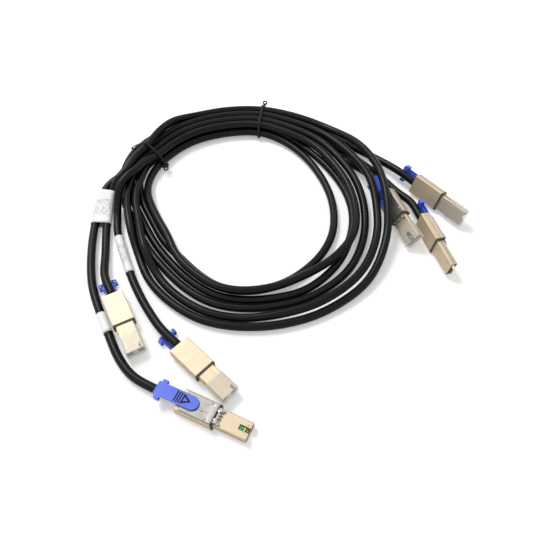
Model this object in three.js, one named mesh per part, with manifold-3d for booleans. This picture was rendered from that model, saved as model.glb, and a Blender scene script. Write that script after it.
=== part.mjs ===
// Set of three external storage cables, coiled together and strapped with two cable ties.
// Units are millimetres, +Z is up, the floor is z = 0. The viewer stands on the -Y side.
import * as THREE from "three";
import Module from "manifold-3d";

const wasm = await Module();
wasm.setup();

// The middle of the object's outline on the floor, where the frame's origin is
const MIDDLE = [4.67, 43.22, 0.1];

// Cable
const CABLE_D = 9.0;
const CABLE_R = CABLE_D / 2;
const CABLE_SIDES = 8;
const CABLE_STEP = 27;
const END_GAP = 0.3;
const SCREEN_STRAIGHT = 27;

// Plug body: die-cast halves
const BODY_L = 37;
const BODY_W = 22.4;
const BODY_H = 10.4;
const BODY_BEVEL = 0.7;
const HALF_GAP = 0.3;
const MID_Z = BODY_H / 2;

// Collar
const COLLAR_X0 = BODY_L + 0.2;
const COLLAR_L = 1.6;
const COLLAR_W = BODY_W + 0.4;
const COLLAR_H = BODY_H - 0.2;
const COLLAR_CLEAR = 0.25;

// Nose: metal sleeve in two halves with an open mouth
const NOSE_L = 34.5;
const NOSE_X1 = BODY_L + NOSE_L;
const NOSE_W = 18.2;
const NOSE_H = 7.8;
const NOSE_WALL = 0.9;
const NOSE_BEVEL = 0.9;
const NOTCH_W = 9;
const NOTCH_L = 4.2;
const RIDGE_H = 0.35;
const RIDGE_W = 1.1;
const RIDGE_Y = 4.2;

// Contact card
const CARD_T = 1.0;
const CARD_W = 15.2;
const CARD_SET_BACK = 2.3;
const CARD_X1 = NOSE_X1 - CARD_SET_BACK;

// Latch
const LATCH_T = 0.6;
const LATCH_Z0 = BODY_H + 0.15;
const LATCH_PLATE_L = 9.4;
const LATCH_PLATE_X1 = BODY_L - 0.6;
const LATCH_X0 = LATCH_PLATE_X1 - LATCH_PLATE_L;
const LATCH_W = 12.6;
const LATCH_REACH = 5.2;
const LATCH_TIP_X = COLLAR_X0 + COLLAR_L + LATCH_REACH;
const LATCH_ARM_Y = 6.6;
const LATCH_ARM_W = 2.2;
const LATCH_HOOK_Z = MID_Z + NOSE_H / 2 + 0.35;

// Peened rivet heads on the upper half
const RIVET_R = 1.25;
const RIVET_H = 0.6;

// Pull tab: a folded strap
const TAB_T = 0.7;
const TAB_LOW_Z = BODY_H + 0.3;
const TAB_FOLD_R = 0.85;
const TAB_X0 = -23;
const TAB_TIP_BACK = 17;
const TAB_TIP_X = BODY_L - TAB_TIP_BACK;
const TAB_W = 13.4;
const TAB_LOW_W = 10;
const TAB_LINK_X = LATCH_X0 - 0.4;
const WING_X0 = -21.5;
const WING_X1 = -16.5;
const WING_Y = 9.8;
const WING_LIP_Z = BODY_H - 2.2;

// Clear dust cap
const CAP_L = 23;
const CAP_END = 1.5;
const CAP_X1 = NOSE_X1 + CAP_END;
const CAP_X0 = CAP_X1 - CAP_L;
const CAP_WALL = 0.7;
const CAP_FIT = 0.45;

// Cable ties
const TIE_W = 2.6;
const TIE_T = 0.8;
const TIE_FIT = 1.3;
const TIE_HEAD_R = 3.1;
const TIE_HEAD_HOLE = 1.4;
const TIE_SLACK = 0.8;
const TIE_LEFT_HEAD_OUT = 1.5;
const TIE_LEFT_HEAD_UP = 1.4;
const TIE_RIGHT_HEAD_OUT = 2.5;
const TIE_RIGHT_HEAD_UP = 0.6;

// Label sleeves
const LABEL_T = 0.3;
const LABEL_FIT = 0.3;
const LABEL_PAIR_HALF = 11.9;

// Plug poses: centre of the rear face, heading and roll in degrees
const PLUGS = {
  left_front: { at: [-86.9, -144.2, 5.3], heading: -25, roll: 0, cap: false },
  left_outer: { at: [-166.5, -32.5, 8.7], heading: -62.5, roll: 180, cap: true },
  left_middle: { at: [-92.6, -90.2, 8.7], heading: -44, roll: 180, cap: true },
  right_inner: { at: [128, 105, 11.6], heading: -70, roll: 50, cap: true },
  right_middle: { at: [165, 67.5, 12], heading: -73, roll: -98, cap: false },
  right_outer: { at: [165, 124, 12.5], heading: -49.5, roll: -112, cap: true },
};

// Stations round the coil: a point on its inner edge and the direction outwards
const TOP = [
  [[-136, 161], [-0.84, 0.54]],
  [[-121, 181], [-0.74, 0.67]],
  [[-107, 194], [-0.6, 0.8]],
  [[-90, 204], [-0.41, 0.91]],
  [[-56, 214], [-0.14, 0.99]],
  [[-21, 214], [0.12, 0.99]],
];
const LOW = [
  [[8, 200], [0.42, 0.91]],
  [[33, 174], [0.66, 0.75]],
  [[50, 143], [0.85, 0.53]],
  [[60, 112], [0.96, 0.27]],
  [[63, 82], [1, 0]],
  [[59, 52], [0.98, -0.22]],
  [[45, 24], [0.83, -0.56]],
  [[18, -3], [0.6, -0.8]],
  [[-9, -16], [0.33, -0.94]],
  [[-36, -19], [0, -1]],
  [[-57, -14], [-0.35, -0.94]],
  [[-78, 1], [-0.6, -0.8]],
  [[-97, 22], [-0.74, -0.67]],
  [[-114, 46], [-0.83, -0.56]],
  [[-130, 75], [-0.9, -0.43]],
  [[-144, 108], [-0.985, -0.17]],
  [[-146, 133], [-0.995, 0.1]],
  [[-143, 147], [-0.94, 0.34]],
];

// Places in the tied bundle, one [distance outwards, height] for each station of TOP
const BUNDLE = {
  floor_1: [[4.7, 6.8], [4.7, 6.4], [4.7, 6.4], [4.7, 6.4], [4.7, 6.4], [4.8, 6.8]],
  floor_2: [[15, 6.8], [14.8, 6.4], [14.5, 6.4], [14.5, 6.4], [14.5, 6.4], [14.7, 6.8]],
  floor_3: [[25.1, 6.8], [24.7, 6.4], [24.3, 6.4], [24.3, 6.4], [24.3, 6.4], [24.6, 6.8]],
  floor_4: [[35, 6.8], [34.6, 6.4], [34.2, 6.4], [34.1, 6.4], [34.1, 6.4], [34.1, 6.8]],
  floor_5: [[44.9, 6.8], [44.4, 6.4], [44.1, 6.4], [43.9, 6.4], [43.9, 6.4], [43.9, 6.8]],
  upper_1: [[9.6, 16.4], [9.6, 15], [9.6, 15], [9.6, 15], [9.6, 15], [9.8, 15.4]],
  upper_2: [[19.4, 15.2], [19.4, 15], [19.4, 15], [19.4, 15], [19.4, 15], [19.5, 15.4]],
  upper_3: [[29.3, 15.2], [29.2, 15], [29.2, 15], [29.2, 15], [29.2, 15], [29.2, 15.4]],
  upper_4: [[24.3, 23.9], [30.1, 25], [36.4, 22.2], [39.2, 15.8], [39, 15], [39, 15.4]],
};

// Lanes of the loose part of the coil, one [distance outwards, height] for each station of LOW
const LANES = {
  inner: [
    [4.7, 5.6], [4.7, 5], [4.7, 4.8], [4.7, 4.8], [4.7, 4.8], [4.7, 4.8],
    [4.7, 4.8], [4.7, 4.8], [4.7, 4.8], [4.8, 4.8], [4.8, 4.8], [5, 4.8],
    [6, 4.8], [9.4, 4.8], [9.8, 4.8], [12.2, 4.8], [17, 5.2], [21.7, 5.8],
  ],
  second: [
    [14.5, 5.6], [15.5, 5], [20, 4.8], [24, 4.8], [26, 4.8], [25, 4.8],
    [25.5, 4.8], [24, 4.8], [18, 4.8], [15.6, 4.8], [15.6, 4.8], [16.4, 4.8],
    [17.6, 4.8], [19.2, 4.8], [19.7, 4.8], [22.2, 4.8], [27.4, 5.2], [31.6, 5.8],
  ],
  riding: [
    [11.7, 15.2], [19.8, 14.4], [23.5, 14.4], [26.5, 14.6], [28.2, 14.6], [28, 14.6],
    [21, 14.4], [12, 13.4], [10, 13.4], [9.8, 13.4], [9.8, 13.4], [10, 13.6],
    [10.2, 14.2], [4.9, 14.2], [4.7, 13.8], [4.2, 10.8], [4.7, 5.6], [4.7, 6.1],
  ],
  third: [
    [21.8, 15.2], [30.3, 15], [34.5, 14.9], [38, 13.5], [39.7, 8], [39.5, 4.8],
    [39.5, 4.8], [34.2, 4.8], [28, 4.8], [25.6, 4.8], [25.6, 4.8], [26.4, 4.8],
    [27.4, 4.8], [29, 4.8], [29.8, 4.8], [32.3, 4.8], [37.6, 5.2], [41.5, 5.8],
  ],
  fourth: [
    [32.6, 15.4], [42.5, 15.6], [48, 18.6], [52, 21], [51.5, 18.6], [53, 14.5],
    [53.5, 12.6], [47.5, 11.8], [40, 8.2], [37.2, 4.8], [37.5, 4.8], [38.5, 4.8],
    [38, 6.2], [33, 14.4], [24.8, 14.5], [17.4, 14.4], [11.9, 13.9], [13.6, 11.4],
  ],
  outer: [
    [43.6, 15.6], [54, 16.5], [60.8, 26.6], [62.8, 30.4], [62.4, 25.8], [63.6, 15.5],
    [63.8, 7.5], [56, 4.8], [50.2, 4.8], [47.2, 4.8], [47.5, 4.8], [48.5, 4.8],
    [47.9, 4.8], [41.3, 6.2], [35.2, 14.5], [27.3, 14.5], [22.4, 14.2], [22.8, 16.8],
  ],
};

// Leads from the plugs to the first tie and from the second tie to the plugs
const LEADS_IN = {
  left_front: [
    [-133.8, -120.3, 5.2], [-150.3, -101, 5.2], [-163.4, -76.6, 5.2], [-180, -44, 5.2], [-191.5, -16, 5.2],
    [-200, 25, 5.2], [-203.5, 64, 5.2], [-203.5, 90, 6.5], [-201, 110, 10], [-193, 124, 13],
    [-179, 137.3, 14.6], [-173.4, 158, 15.2],
  ],
  left_outer: [
    [-184, 22, 5.6], [-190, 64, 5.2], [-191, 90, 6.7], [-189.5, 106, 11.6], [-184, 122, 20.6],
    [-173.7, 136.8, 23.4], [-167.4, 155.8, 23.7],
  ],
  left_middle: [
    [-133, -41, 6], [-148, -14, 5.2], [-160, 13, 5.2], [-170, 38, 5.2], [-175.5, 52, 5.2],
    [-178.3, 68, 5.8], [-180.1, 85, 10], [-180.4, 99, 17.4], [-177.5, 114, 24],
    [-170.4, 124.5, 25.2], [-163, 135.5, 23.8], [-155.4, 151, 21.8],
  ],
};
const LEADS_OUT = {
  right_inner: [[19, 223.7, 5.6], [53, 199, 5], [84, 173, 4.8], [99, 157, 6.5], [110, 143.5, 10]],
  right_middle: [
    [23, 233, 5.6], [60, 207.5, 5], [96, 176, 4.8], [124, 144, 6], [143, 113, 8.5],
  ],
  right_outer: [[28, 243, 5.6], [66.5, 216, 5], [103, 189.5, 4.8], [126, 170, 7]],
};

// Middle line of the sleeve that holds two leads together
const LABEL_PAIR_LINE = [
  new THREE.Vector3(-196.4, 62, 6.05),
  new THREE.Vector3(-197.2, 81, 6.4),
  new THREE.Vector3(-196.6, 98, 8.7),
];

// Each cable: plug, then three passes of the bundle with two turns between them, then plug
const CABLES = {
  cable_front: {
    from: "left_front", to: "right_middle",
    passes: ["upper_3", "floor_2", "floor_4"], turns: ["fourth", "second"],
  },
  cable_outer: {
    from: "left_outer", to: "right_outer",
    passes: ["upper_4", "upper_2", "floor_5"], turns: ["outer", "third"],
  },
  cable_middle: {
    from: "left_middle", to: "right_inner",
    passes: ["upper_1", "floor_1", "floor_3"], turns: ["riding", "inner"],
  },
};

// Helpers for solids

function toSolid(geometry) {
  const plain = geometry.clone();
  plain.deleteAttribute("normal");
  plain.deleteAttribute("uv");
  const merged = mergeByPosition(plain);
  const mesh = new wasm.Mesh({
    numProp: 3,
    vertProperties: merged.positions,
    triVerts: merged.triangles,
  });
  return new wasm.Manifold(mesh);
}

function mergeByPosition(geometry) {
  const position = geometry.getAttribute("position");
  const index = geometry.index;
  const count = index ? index.count : position.count;
  const seen = new Map();
  const positions = [];
  const triangles = [];
  for (let i = 0; i < count; i += 3) {
    const corner = [];
    for (let k = 0; k < 3; k += 1) {
      const v = index ? index.getX(i + k) : i + k;
      const p = [position.getX(v), position.getY(v), position.getZ(v)];
      const key = p.map((c) => Math.round(c * 1e4)).join(",");
      if (!seen.has(key)) {
        seen.set(key, positions.length / 3);
        positions.push(p[0], p[1], p[2]);
      }
      corner.push(seen.get(key));
    }
    const flat = corner[0] === corner[1] || corner[1] === corner[2] || corner[0] === corner[2];
    if (!flat) {
      triangles.push(corner[0], corner[1], corner[2]);
    }
  }
  return {
    positions: new Float32Array(positions),
    triangles: new Uint32Array(triangles),
  };
}

function fromSolid(solid) {
  const mesh = solid.getMesh();
  const geometry = new THREE.BufferGeometry();
  geometry.setAttribute("position", new THREE.BufferAttribute(mesh.vertProperties, 3));
  geometry.setIndex(new THREE.BufferAttribute(mesh.triVerts, 1));
  return geometry;
}

function box(x0, x1, y0, y1, z0, z1) {
  const geometry = new THREE.BoxGeometry(x1 - x0, y1 - y0, z1 - z0);
  geometry.translate((x0 + x1) / 2, (y0 + y1) / 2, (z0 + z1) / 2);
  return toSolid(geometry);
}

function outline(points) {
  const shape = new THREE.Shape();
  points.forEach(([a, b], i) => (i === 0 ? shape.moveTo(a, b) : shape.lineTo(a, b)));
  shape.closePath();
  return shape;
}

// Section given in (y, z), pushed along x
function alongX(points, x0, x1) {
  const geometry = new THREE.ExtrudeGeometry(outline(points), {
    depth: x1 - x0,
    bevelEnabled: false,
  });
  const turn = new THREE.Matrix4().makeBasis(
    new THREE.Vector3(0, 1, 0),
    new THREE.Vector3(0, 0, 1),
    new THREE.Vector3(1, 0, 0),
  );
  geometry.applyMatrix4(turn);
  geometry.translate(x0, 0, 0);
  return toSolid(geometry);
}

// Plan given in (x, y), pushed upwards
function upwards(points, z0, z1) {
  const geometry = new THREE.ExtrudeGeometry(outline(points), {
    depth: z1 - z0,
    bevelEnabled: false,
  });
  geometry.translate(0, 0, z0);
  return toSolid(geometry);
}

// Side view given in (x, z), pushed across the width
function across(points, y0, y1) {
  const geometry = new THREE.ExtrudeGeometry(outline(points), {
    depth: y1 - y0,
    bevelEnabled: false,
  });
  const turn = new THREE.Matrix4().makeBasis(
    new THREE.Vector3(1, 0, 0),
    new THREE.Vector3(0, 0, 1),
    new THREE.Vector3(0, -1, 0),
  );
  geometry.applyMatrix4(turn);
  geometry.translate(0, y1, 0);
  return toSolid(geometry);
}

function bevelled(halfWidth, z0, z1, cutLow, cutHigh) {
  const points = [];
  if (cutLow > 0) {
    points.push([-halfWidth + cutLow, z0], [halfWidth - cutLow, z0], [halfWidth, z0 + cutLow]);
  } else {
    points.push([-halfWidth, z0], [halfWidth, z0]);
  }
  if (cutHigh > 0) {
    points.push([halfWidth, z1 - cutHigh], [halfWidth - cutHigh, z1]);
    points.push([-halfWidth + cutHigh, z1], [-halfWidth, z1 - cutHigh]);
  } else {
    points.push([halfWidth, z1], [-halfWidth, z1]);
  }
  if (cutLow > 0) {
    points.push([-halfWidth, z0 + cutLow]);
  }
  return points;
}

// Parts of one plug, in its own frame: x forwards, z up on the latch side

function lowerHalf() {
  const top = MID_Z - HALF_GAP / 2;
  const noseLow = MID_Z - NOSE_H / 2;
  const body = alongX(bevelled(BODY_W / 2, 0, top, BODY_BEVEL, 0), 0, BODY_L);
  const sleeve = alongX(bevelled(NOSE_W / 2, noseLow, top, NOSE_BEVEL, 0), BODY_L - 0.5, NOSE_X1);
  const hollow = box(
    BODY_L, NOSE_X1 + 1,
    -NOSE_W / 2 + NOSE_WALL, NOSE_W / 2 - NOSE_WALL,
    noseLow + NOSE_WALL, top + 1,
  );
  const left = box(
    BODY_L + 4, NOSE_X1 - 4,
    RIDGE_Y - RIDGE_W / 2, RIDGE_Y + RIDGE_W / 2,
    noseLow - RIDGE_H, noseLow + NOSE_WALL / 2,
  );
  const right = box(
    BODY_L + 4, NOSE_X1 - 4,
    -RIDGE_Y - RIDGE_W / 2, -RIDGE_Y + RIDGE_W / 2,
    noseLow - RIDGE_H, noseLow + NOSE_WALL / 2,
  );
  return body.add(sleeve.subtract(hollow)).add(left).add(right);
}

function upperHalf() {
  const low = MID_Z + HALF_GAP / 2;
  const noseTop = MID_Z + NOSE_H / 2;
  const body = alongX(bevelled(BODY_W / 2, low, BODY_H, 0, BODY_BEVEL), 0, BODY_L);
  const sleeve = alongX(bevelled(NOSE_W / 2, low, noseTop, 0, NOSE_BEVEL), BODY_L - 0.5, NOSE_X1);
  const hollow = box(
    BODY_L, NOSE_X1 + 1,
    -NOSE_W / 2 + NOSE_WALL, NOSE_W / 2 - NOSE_WALL,
    low - 1, noseTop - NOSE_WALL,
  );
  const notch = upwards(
    [
      [NOSE_X1 - NOTCH_L, -NOTCH_W / 2 + 1], [NOSE_X1 + 1, -NOTCH_W / 2],
      [NOSE_X1 + 1, NOTCH_W / 2], [NOSE_X1 - NOTCH_L, NOTCH_W / 2 - 1],
    ],
    noseTop - NOSE_WALL - 0.5, noseTop + 1,
  );
  return body.add(sleeve.subtract(hollow)).subtract(notch).add(rivets(RIVET_R, -0.5, RIVET_H));
}

const RIVET_PLACES = [[31.5, 8.6], [31.5, -8.6], [22.6, -8.6]];

function rivets(radius, z0, z1) {
  let group = null;
  RIVET_PLACES.forEach(([x, y]) => {
    const geometry = new THREE.CylinderGeometry(radius, radius, z1 - z0, 10);
    geometry.rotateX(Math.PI / 2);
    geometry.translate(x, y, BODY_H + (z0 + z1) / 2);
    const one = toSolid(geometry);
    group = group ? group.add(one) : one;
  });
  return group;
}

function collar() {
  const low = MID_Z - COLLAR_H / 2;
  const high = MID_Z + COLLAR_H / 2;
  const outside = alongX(bevelled(COLLAR_W / 2, low, high, 0.8, 0.8), COLLAR_X0, COLLAR_X0 + COLLAR_L);
  const halfY = NOSE_W / 2 + COLLAR_CLEAR;
  const inside = box(
    COLLAR_X0 - 1, COLLAR_X0 + COLLAR_L + 1,
    -halfY, halfY,
    MID_Z - NOSE_H / 2 - COLLAR_CLEAR, MID_Z + NOSE_H / 2 + COLLAR_CLEAR,
  );
  return outside.subtract(inside);
}

function card() {
  const z0 = MID_Z - CARD_T / 2;
  return upwards(
    [
      [BODY_L + 0.3, -CARD_W / 2], [CARD_X1 - 1, -CARD_W / 2], [CARD_X1, -CARD_W / 2 + 1],
      [CARD_X1, CARD_W / 2 - 1], [CARD_X1 - 1, CARD_W / 2], [BODY_L + 0.3, CARD_W / 2],
    ],
    z0, z0 + CARD_T,
  );
}

function latch() {
  const z0 = LATCH_Z0;
  const z1 = z0 + LATCH_T;
  const half = LATCH_W / 2;
  const armIn = LATCH_ARM_Y - LATCH_ARM_W / 2;
  const armOut = LATCH_ARM_Y + LATCH_ARM_W / 2;
  const plate = upwards(
    [
      [LATCH_X0, -half], [LATCH_PLATE_X1 - 1, -half], [LATCH_PLATE_X1 - 1, -armOut],
      [LATCH_TIP_X, -armOut], [LATCH_TIP_X, -armIn], [LATCH_PLATE_X1, -armIn],
      [LATCH_PLATE_X1, armIn], [LATCH_TIP_X, armIn], [LATCH_TIP_X, armOut],
      [LATCH_PLATE_X1 - 1, armOut], [LATCH_PLATE_X1 - 1, half], [LATCH_X0, half],
    ],
    z0, z1,
  );
  const window = box(LATCH_X0 + 2.2, LATCH_PLATE_X1 - 1.8, -3.4, 3.4, z0 - 1, z1 + 1);
  let solid = plate.subtract(window);
  [-1, 1].forEach((side) => {
    const hook = across(
      [
        [LATCH_TIP_X - 1.9, z1], [LATCH_TIP_X - 1.5, LATCH_HOOK_Z],
        [LATCH_TIP_X - 0.9, LATCH_HOOK_Z], [LATCH_TIP_X, z0 + 0.2], [LATCH_TIP_X, z1],
      ],
      side * LATCH_ARM_Y - LATCH_ARM_W / 2, side * LATCH_ARM_Y + LATCH_ARM_W / 2,
    );
    solid = solid.add(hook);
  });
  return solid;
}

function pullTab() {
  const lowZ = TAB_LOW_Z;
  const midZ = lowZ + TAB_T + TAB_FOLD_R;
  const topZ = midZ + TAB_FOLD_R;
  const inner = TAB_FOLD_R;
  const outer = TAB_FOLD_R + TAB_T;
  const fold = [];
  for (let i = 0; i <= 6; i += 1) {
    const a = Math.PI / 2 + (Math.PI * i) / 6;
    fold.push([TAB_X0 + Math.cos(a) * outer, midZ + Math.sin(a) * outer]);
  }
  for (let i = 6; i >= 0; i -= 1) {
    const a = Math.PI / 2 + (Math.PI * i) / 6;
    fold.push([TAB_X0 + Math.cos(a) * inner, midZ + Math.sin(a) * inner]);
  }
  const halfLow = TAB_LOW_W / 2;
  const half = TAB_W / 2;
  const bend = across(fold, -half, half);
  const lower = box(TAB_X0 - 0.1, TAB_LINK_X, -halfLow, halfLow, lowZ, lowZ + TAB_T);
  const plan = [[TAB_X0 - 0.1, -half], [TAB_TIP_X - half, -half]];
  for (let i = 1; i < 8; i += 1) {
    const a = -Math.PI / 2 + (Math.PI * i) / 8;
    plan.push([TAB_TIP_X - half + Math.cos(a) * half, Math.sin(a) * half]);
  }
  plan.push([TAB_TIP_X - half, half], [TAB_X0 - 0.1, half]);
  const upper = upwards(plan, topZ, topZ + TAB_T);
  let solid = bend.add(lower).add(upper);
  [-1, 1].forEach((side) => {
    const y0 = Math.min(side * (half - 0.5), side * WING_Y);
    const y1 = Math.max(side * (half - 0.5), side * WING_Y);
    const flat = box(WING_X0, WING_X1, y0, y1, topZ, topZ + TAB_T);
    const e0 = Math.min(side * (WING_Y - TAB_T), side * WING_Y);
    const e1 = Math.max(side * (WING_Y - TAB_T), side * WING_Y);
    const lip = box(WING_X0, WING_X1, e0, e1, WING_LIP_Z, topZ + TAB_T);
    solid = solid.add(flat).add(lip);
  });
  return solid;
}

function dustCap() {
  const halfY = NOSE_W / 2 + CAP_FIT;
  const low = MID_Z - NOSE_H / 2 - CAP_FIT;
  const high = MID_Z + NOSE_H / 2 + CAP_FIT;
  const shell = alongX(
    bevelled(halfY + CAP_WALL, low - CAP_WALL, high + CAP_WALL, 0.9, 0.9), CAP_X0, CAP_X1,
  );
  const inside = box(CAP_X0 - 1, CAP_X1 - CAP_WALL, -halfY, halfY, low, high);
  const rim = box(
    CAP_X0, CAP_X0 + 1.2, -halfY - CAP_WALL - 0.3, halfY + CAP_WALL + 0.3, low - 0.1, high + 0.1,
  );
  return shell.add(rim).subtract(inside);
}

// Cables

function place([point, out], [distance, height]) {
  const size = Math.hypot(out[0], out[1]);
  return new THREE.Vector3(
    point[0] + (out[0] / size) * distance,
    point[1] + (out[1] / size) * distance,
    height,
  );
}

function behind(plug, distance) {
  const turn = THREE.MathUtils.degToRad(plug.heading);
  return new THREE.Vector3(
    plug.at[0] - Math.cos(turn) * distance,
    plug.at[1] - Math.sin(turn) * distance,
    plug.at[2],
  );
}

function route(cable) {
  const start = PLUGS[cable.from];
  const end = PLUGS[cable.to];
  const points = [END_GAP, SCREEN_STRAIGHT / 2, SCREEN_STRAIGHT].map((d) => behind(start, d));
  LEADS_IN[cable.from].forEach((p) => points.push(new THREE.Vector3(...p)));
  cable.passes.forEach((name, i) => {
    TOP.forEach((station, k) => points.push(place(station, BUNDLE[name][k])));
    if (i < cable.turns.length) {
      LOW.forEach((station, k) => points.push(place(station, LANES[cable.turns[i]][k])));
    }
  });
  LEADS_OUT[cable.to].forEach((p) => points.push(new THREE.Vector3(...p)));
  [SCREEN_STRAIGHT, SCREEN_STRAIGHT / 2, END_GAP].forEach((d) => points.push(behind(end, d)));
  return new THREE.CatmullRomCurve3(points, false, "centripetal");
}

function ring(sides, radius) {
  const points = [];
  for (let i = 0; i < sides; i += 1) {
    const a = (2 * Math.PI * (i + 0.5)) / sides;
    points.push([Math.cos(a) * radius, Math.sin(a) * radius]);
  }
  return outline(points);
}

function tube(curve) {
  curve.arcLengthDivisions = 1200;
  const steps = Math.round(curve.getLength() / CABLE_STEP);
  return new THREE.ExtrudeGeometry(ring(CABLE_SIDES, CABLE_R), {
    steps,
    extrudePath: curve,
    bevelEnabled: false,
  });
}

// Ties and labels

// A flat band round an outline given in (u, z), across a station of the bundle
function band(station, section, thickness, width, tail) {
  const [point, out] = station;
  const size = Math.hypot(out[0], out[1]);
  const u = new THREE.Vector3(out[0] / size, out[1] / size, 0);
  const frame = new THREE.Matrix4().makeBasis(u, new THREE.Vector3(0, 0, 1), new THREE.Vector3(u.y, -u.x, 0));
  const inside = new THREE.ExtrudeGeometry(outline(section), { depth: width + 2, bevelEnabled: false });
  inside.translate(0, 0, -width / 2 - 1);
  const grown = grow(section, thickness);
  const outside = new THREE.ExtrudeGeometry(outline(grown), { depth: width, bevelEnabled: false });
  outside.translate(0, 0, -width / 2);
  let solid = toSolid(outside).subtract(toSolid(inside));
  if (tail) {
    solid = solid.add(toSolid(tail(width)));
  }
  const geometry = fromSolid(solid);
  geometry.applyMatrix4(frame);
  geometry.translate(point[0], point[1], 0);
  return geometry;
}

// Push a convex outline outwards by a distance
function grow(points, distance) {
  const grown = [];
  const n = points.length;
  for (let i = 0; i < n; i += 1) {
    const a = points[(i + n - 1) % n];
    const b = points[i];
    const c = points[(i + 1) % n];
    const n1 = [b[1] - a[1], a[0] - b[0]];
    const n2 = [c[1] - b[1], b[0] - c[0]];
    const l1 = Math.hypot(n1[0], n1[1]);
    const l2 = Math.hypot(n2[0], n2[1]);
    const mx = n1[0] / l1 + n2[0] / l2;
    const my = n1[1] / l1 + n2[1] / l2;
    const scale = (2 * distance) / (mx * mx + my * my);
    grown.push([b[0] + mx * scale, b[1] + my * scale]);
  }
  return grown;
}

// Convex outline round a list of cable centres, run counter-clockwise
function around(centres, clear) {
  const radius = CABLE_R + clear;
  const cloud = [];
  centres.forEach(([u, z]) => {
    for (let i = 0; i < 12; i += 1) {
      const a = (2 * Math.PI * i) / 12;
      cloud.push([u + Math.cos(a) * radius, z + Math.sin(a) * radius]);
    }
  });
  cloud.sort((p, q) => p[0] - q[0] || p[1] - q[1]);
  const half = (list) => {
    const chain = [];
    list.forEach((p) => {
      while (chain.length > 1) {
        const a = chain[chain.length - 2];
        const b = chain[chain.length - 1];
        const turn = (b[0] - a[0]) * (p[1] - a[1]) - (b[1] - a[1]) * (p[0] - a[0]);
        if (turn > 0.02) {
          break;
        }
        chain.pop();
      }
      chain.push(p);
    });
    chain.pop();
    return chain;
  };
  return [...half(cloud), ...half([...cloud].reverse())];
}

// Lug with a round hole that closes a tie
function tieHead(u, z, turn) {
  return (width) => {
    const shape = new THREE.Shape();
    shape.absarc(0, 0, TIE_HEAD_R, 0, Math.PI * 2, false);
    const hole = new THREE.Path();
    hole.absarc(0, 0, TIE_HEAD_HOLE, 0, Math.PI * 2, true);
    shape.holes.push(hole);
    const geometry = new THREE.ExtrudeGeometry(shape, {
      depth: width + 1,
      bevelEnabled: false,
      curveSegments: 7,
    });
    geometry.translate(0, 0, -width / 2 - 0.5);
    geometry.rotateZ(turn);
    geometry.translate(u, z, 0);
    return geometry;
  };
}

function tieSection(station, k, names) {
  const centres = names.map((name) => BUNDLE[name][k]);
  centres.push([BUNDLE.floor_1[k][0] - TIE_SLACK, BUNDLE.floor_1[k][1]]);
  return around(centres, TIE_FIT);
}

// A paper sleeve round one or two cables, swept along a line through their shared middle
function sleeve(points, halfWide, halfHigh) {
  const path = new THREE.CatmullRomCurve3(points, false, "centripetal");
  const reach = halfWide - halfHigh;
  const steps = points.length - 1;
  const upright = Math.abs(path.computeFrenetFrames(steps, false).normals[0].z) > 0.5;
  const oval = (radius, backwards) => {
    const profile = [];
    const sides = 16;
    for (let i = 0; i < sides; i += 1) {
      const angle = ((backwards ? -1 : 1) * 2 * Math.PI * (i + 0.5)) / sides;
      const wide = Math.cos(angle) * radius + Math.sign(Math.cos(angle)) * reach;
      const high = Math.sin(angle) * radius;
      profile.push(upright ? new THREE.Vector2(high, wide) : new THREE.Vector2(wide, high));
    }
    return profile;
  };
  const shape = new THREE.Shape(oval(halfHigh + LABEL_T, false));
  shape.holes.push(new THREE.Path(oval(halfHigh, true)));
  return new THREE.ExtrudeGeometry(shape, {
    steps,
    extrudePath: path,
    bevelEnabled: false,
  });
}

// Neighbouring points of a cable's own steps, counted from its first plug
function stepsOf(name, first, last) {
  const curve = route(CABLES[name]);
  curve.arcLengthDivisions = 1200;
  const steps = Math.round(curve.getLength() / CABLE_STEP);
  const points = [];
  for (let i = first; i <= last; i += 1) {
    points.push(curve.getPointAt(i / steps));
  }
  return points;
}

// Assembly

const COLOURS = {
  shell: 0xd8c6a2,
  collar: 0x2b2a2c,
  card: 0x2f7a46,
  latch: 0xb9bcc0,
  tab: 0x4f78e6,
  cap: 0xdfe6ea,
  jacket: 0x1d1c1e,
  tie: 0x121213,
  label: 0xf2f2ef,
};

const root = new THREE.Group();
root.name = "storage_cable_set";
const layout = new THREE.Group();
layout.position.set(-MIDDLE[0], -MIDDLE[1], -MIDDLE[2]);
root.add(layout);

function addMesh(name, geometry, colour) {
  const material = new THREE.MeshStandardMaterial({ color: colour, name });
  const mesh = new THREE.Mesh(geometry, material);
  mesh.name = name;
  layout.add(mesh);
}

function plugMatrix(plug) {
  const heading = THREE.MathUtils.degToRad(plug.heading);
  const roll = THREE.MathUtils.degToRad(plug.roll);
  const forward = new THREE.Vector3(Math.cos(heading), Math.sin(heading), 0);
  const left = new THREE.Vector3(-Math.sin(heading), Math.cos(heading), 0);
  const up = new THREE.Vector3(0, 0, 1);
  const side = left.clone().multiplyScalar(Math.cos(roll)).addScaledVector(up, Math.sin(roll));
  const face = left.clone().multiplyScalar(-Math.sin(roll)).addScaledVector(up, Math.cos(roll));
  const matrix = new THREE.Matrix4().makeBasis(forward, side, face);
  matrix.setPosition(plug.at[0], plug.at[1], plug.at[2]);
  return matrix.multiply(new THREE.Matrix4().makeTranslation(0, 0, -MID_Z));
}

const plugParts = {
  shell_lower: [lowerHalf(), COLOURS.shell],
  shell_upper: [upperHalf(), COLOURS.shell],
  collar: [collar(), COLOURS.collar],
  contact_card: [card(), COLOURS.card],
  latch: [latch(), COLOURS.latch],
  pull_tab: [pullTab(), COLOURS.tab],
};
const capSolid = dustCap();

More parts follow.
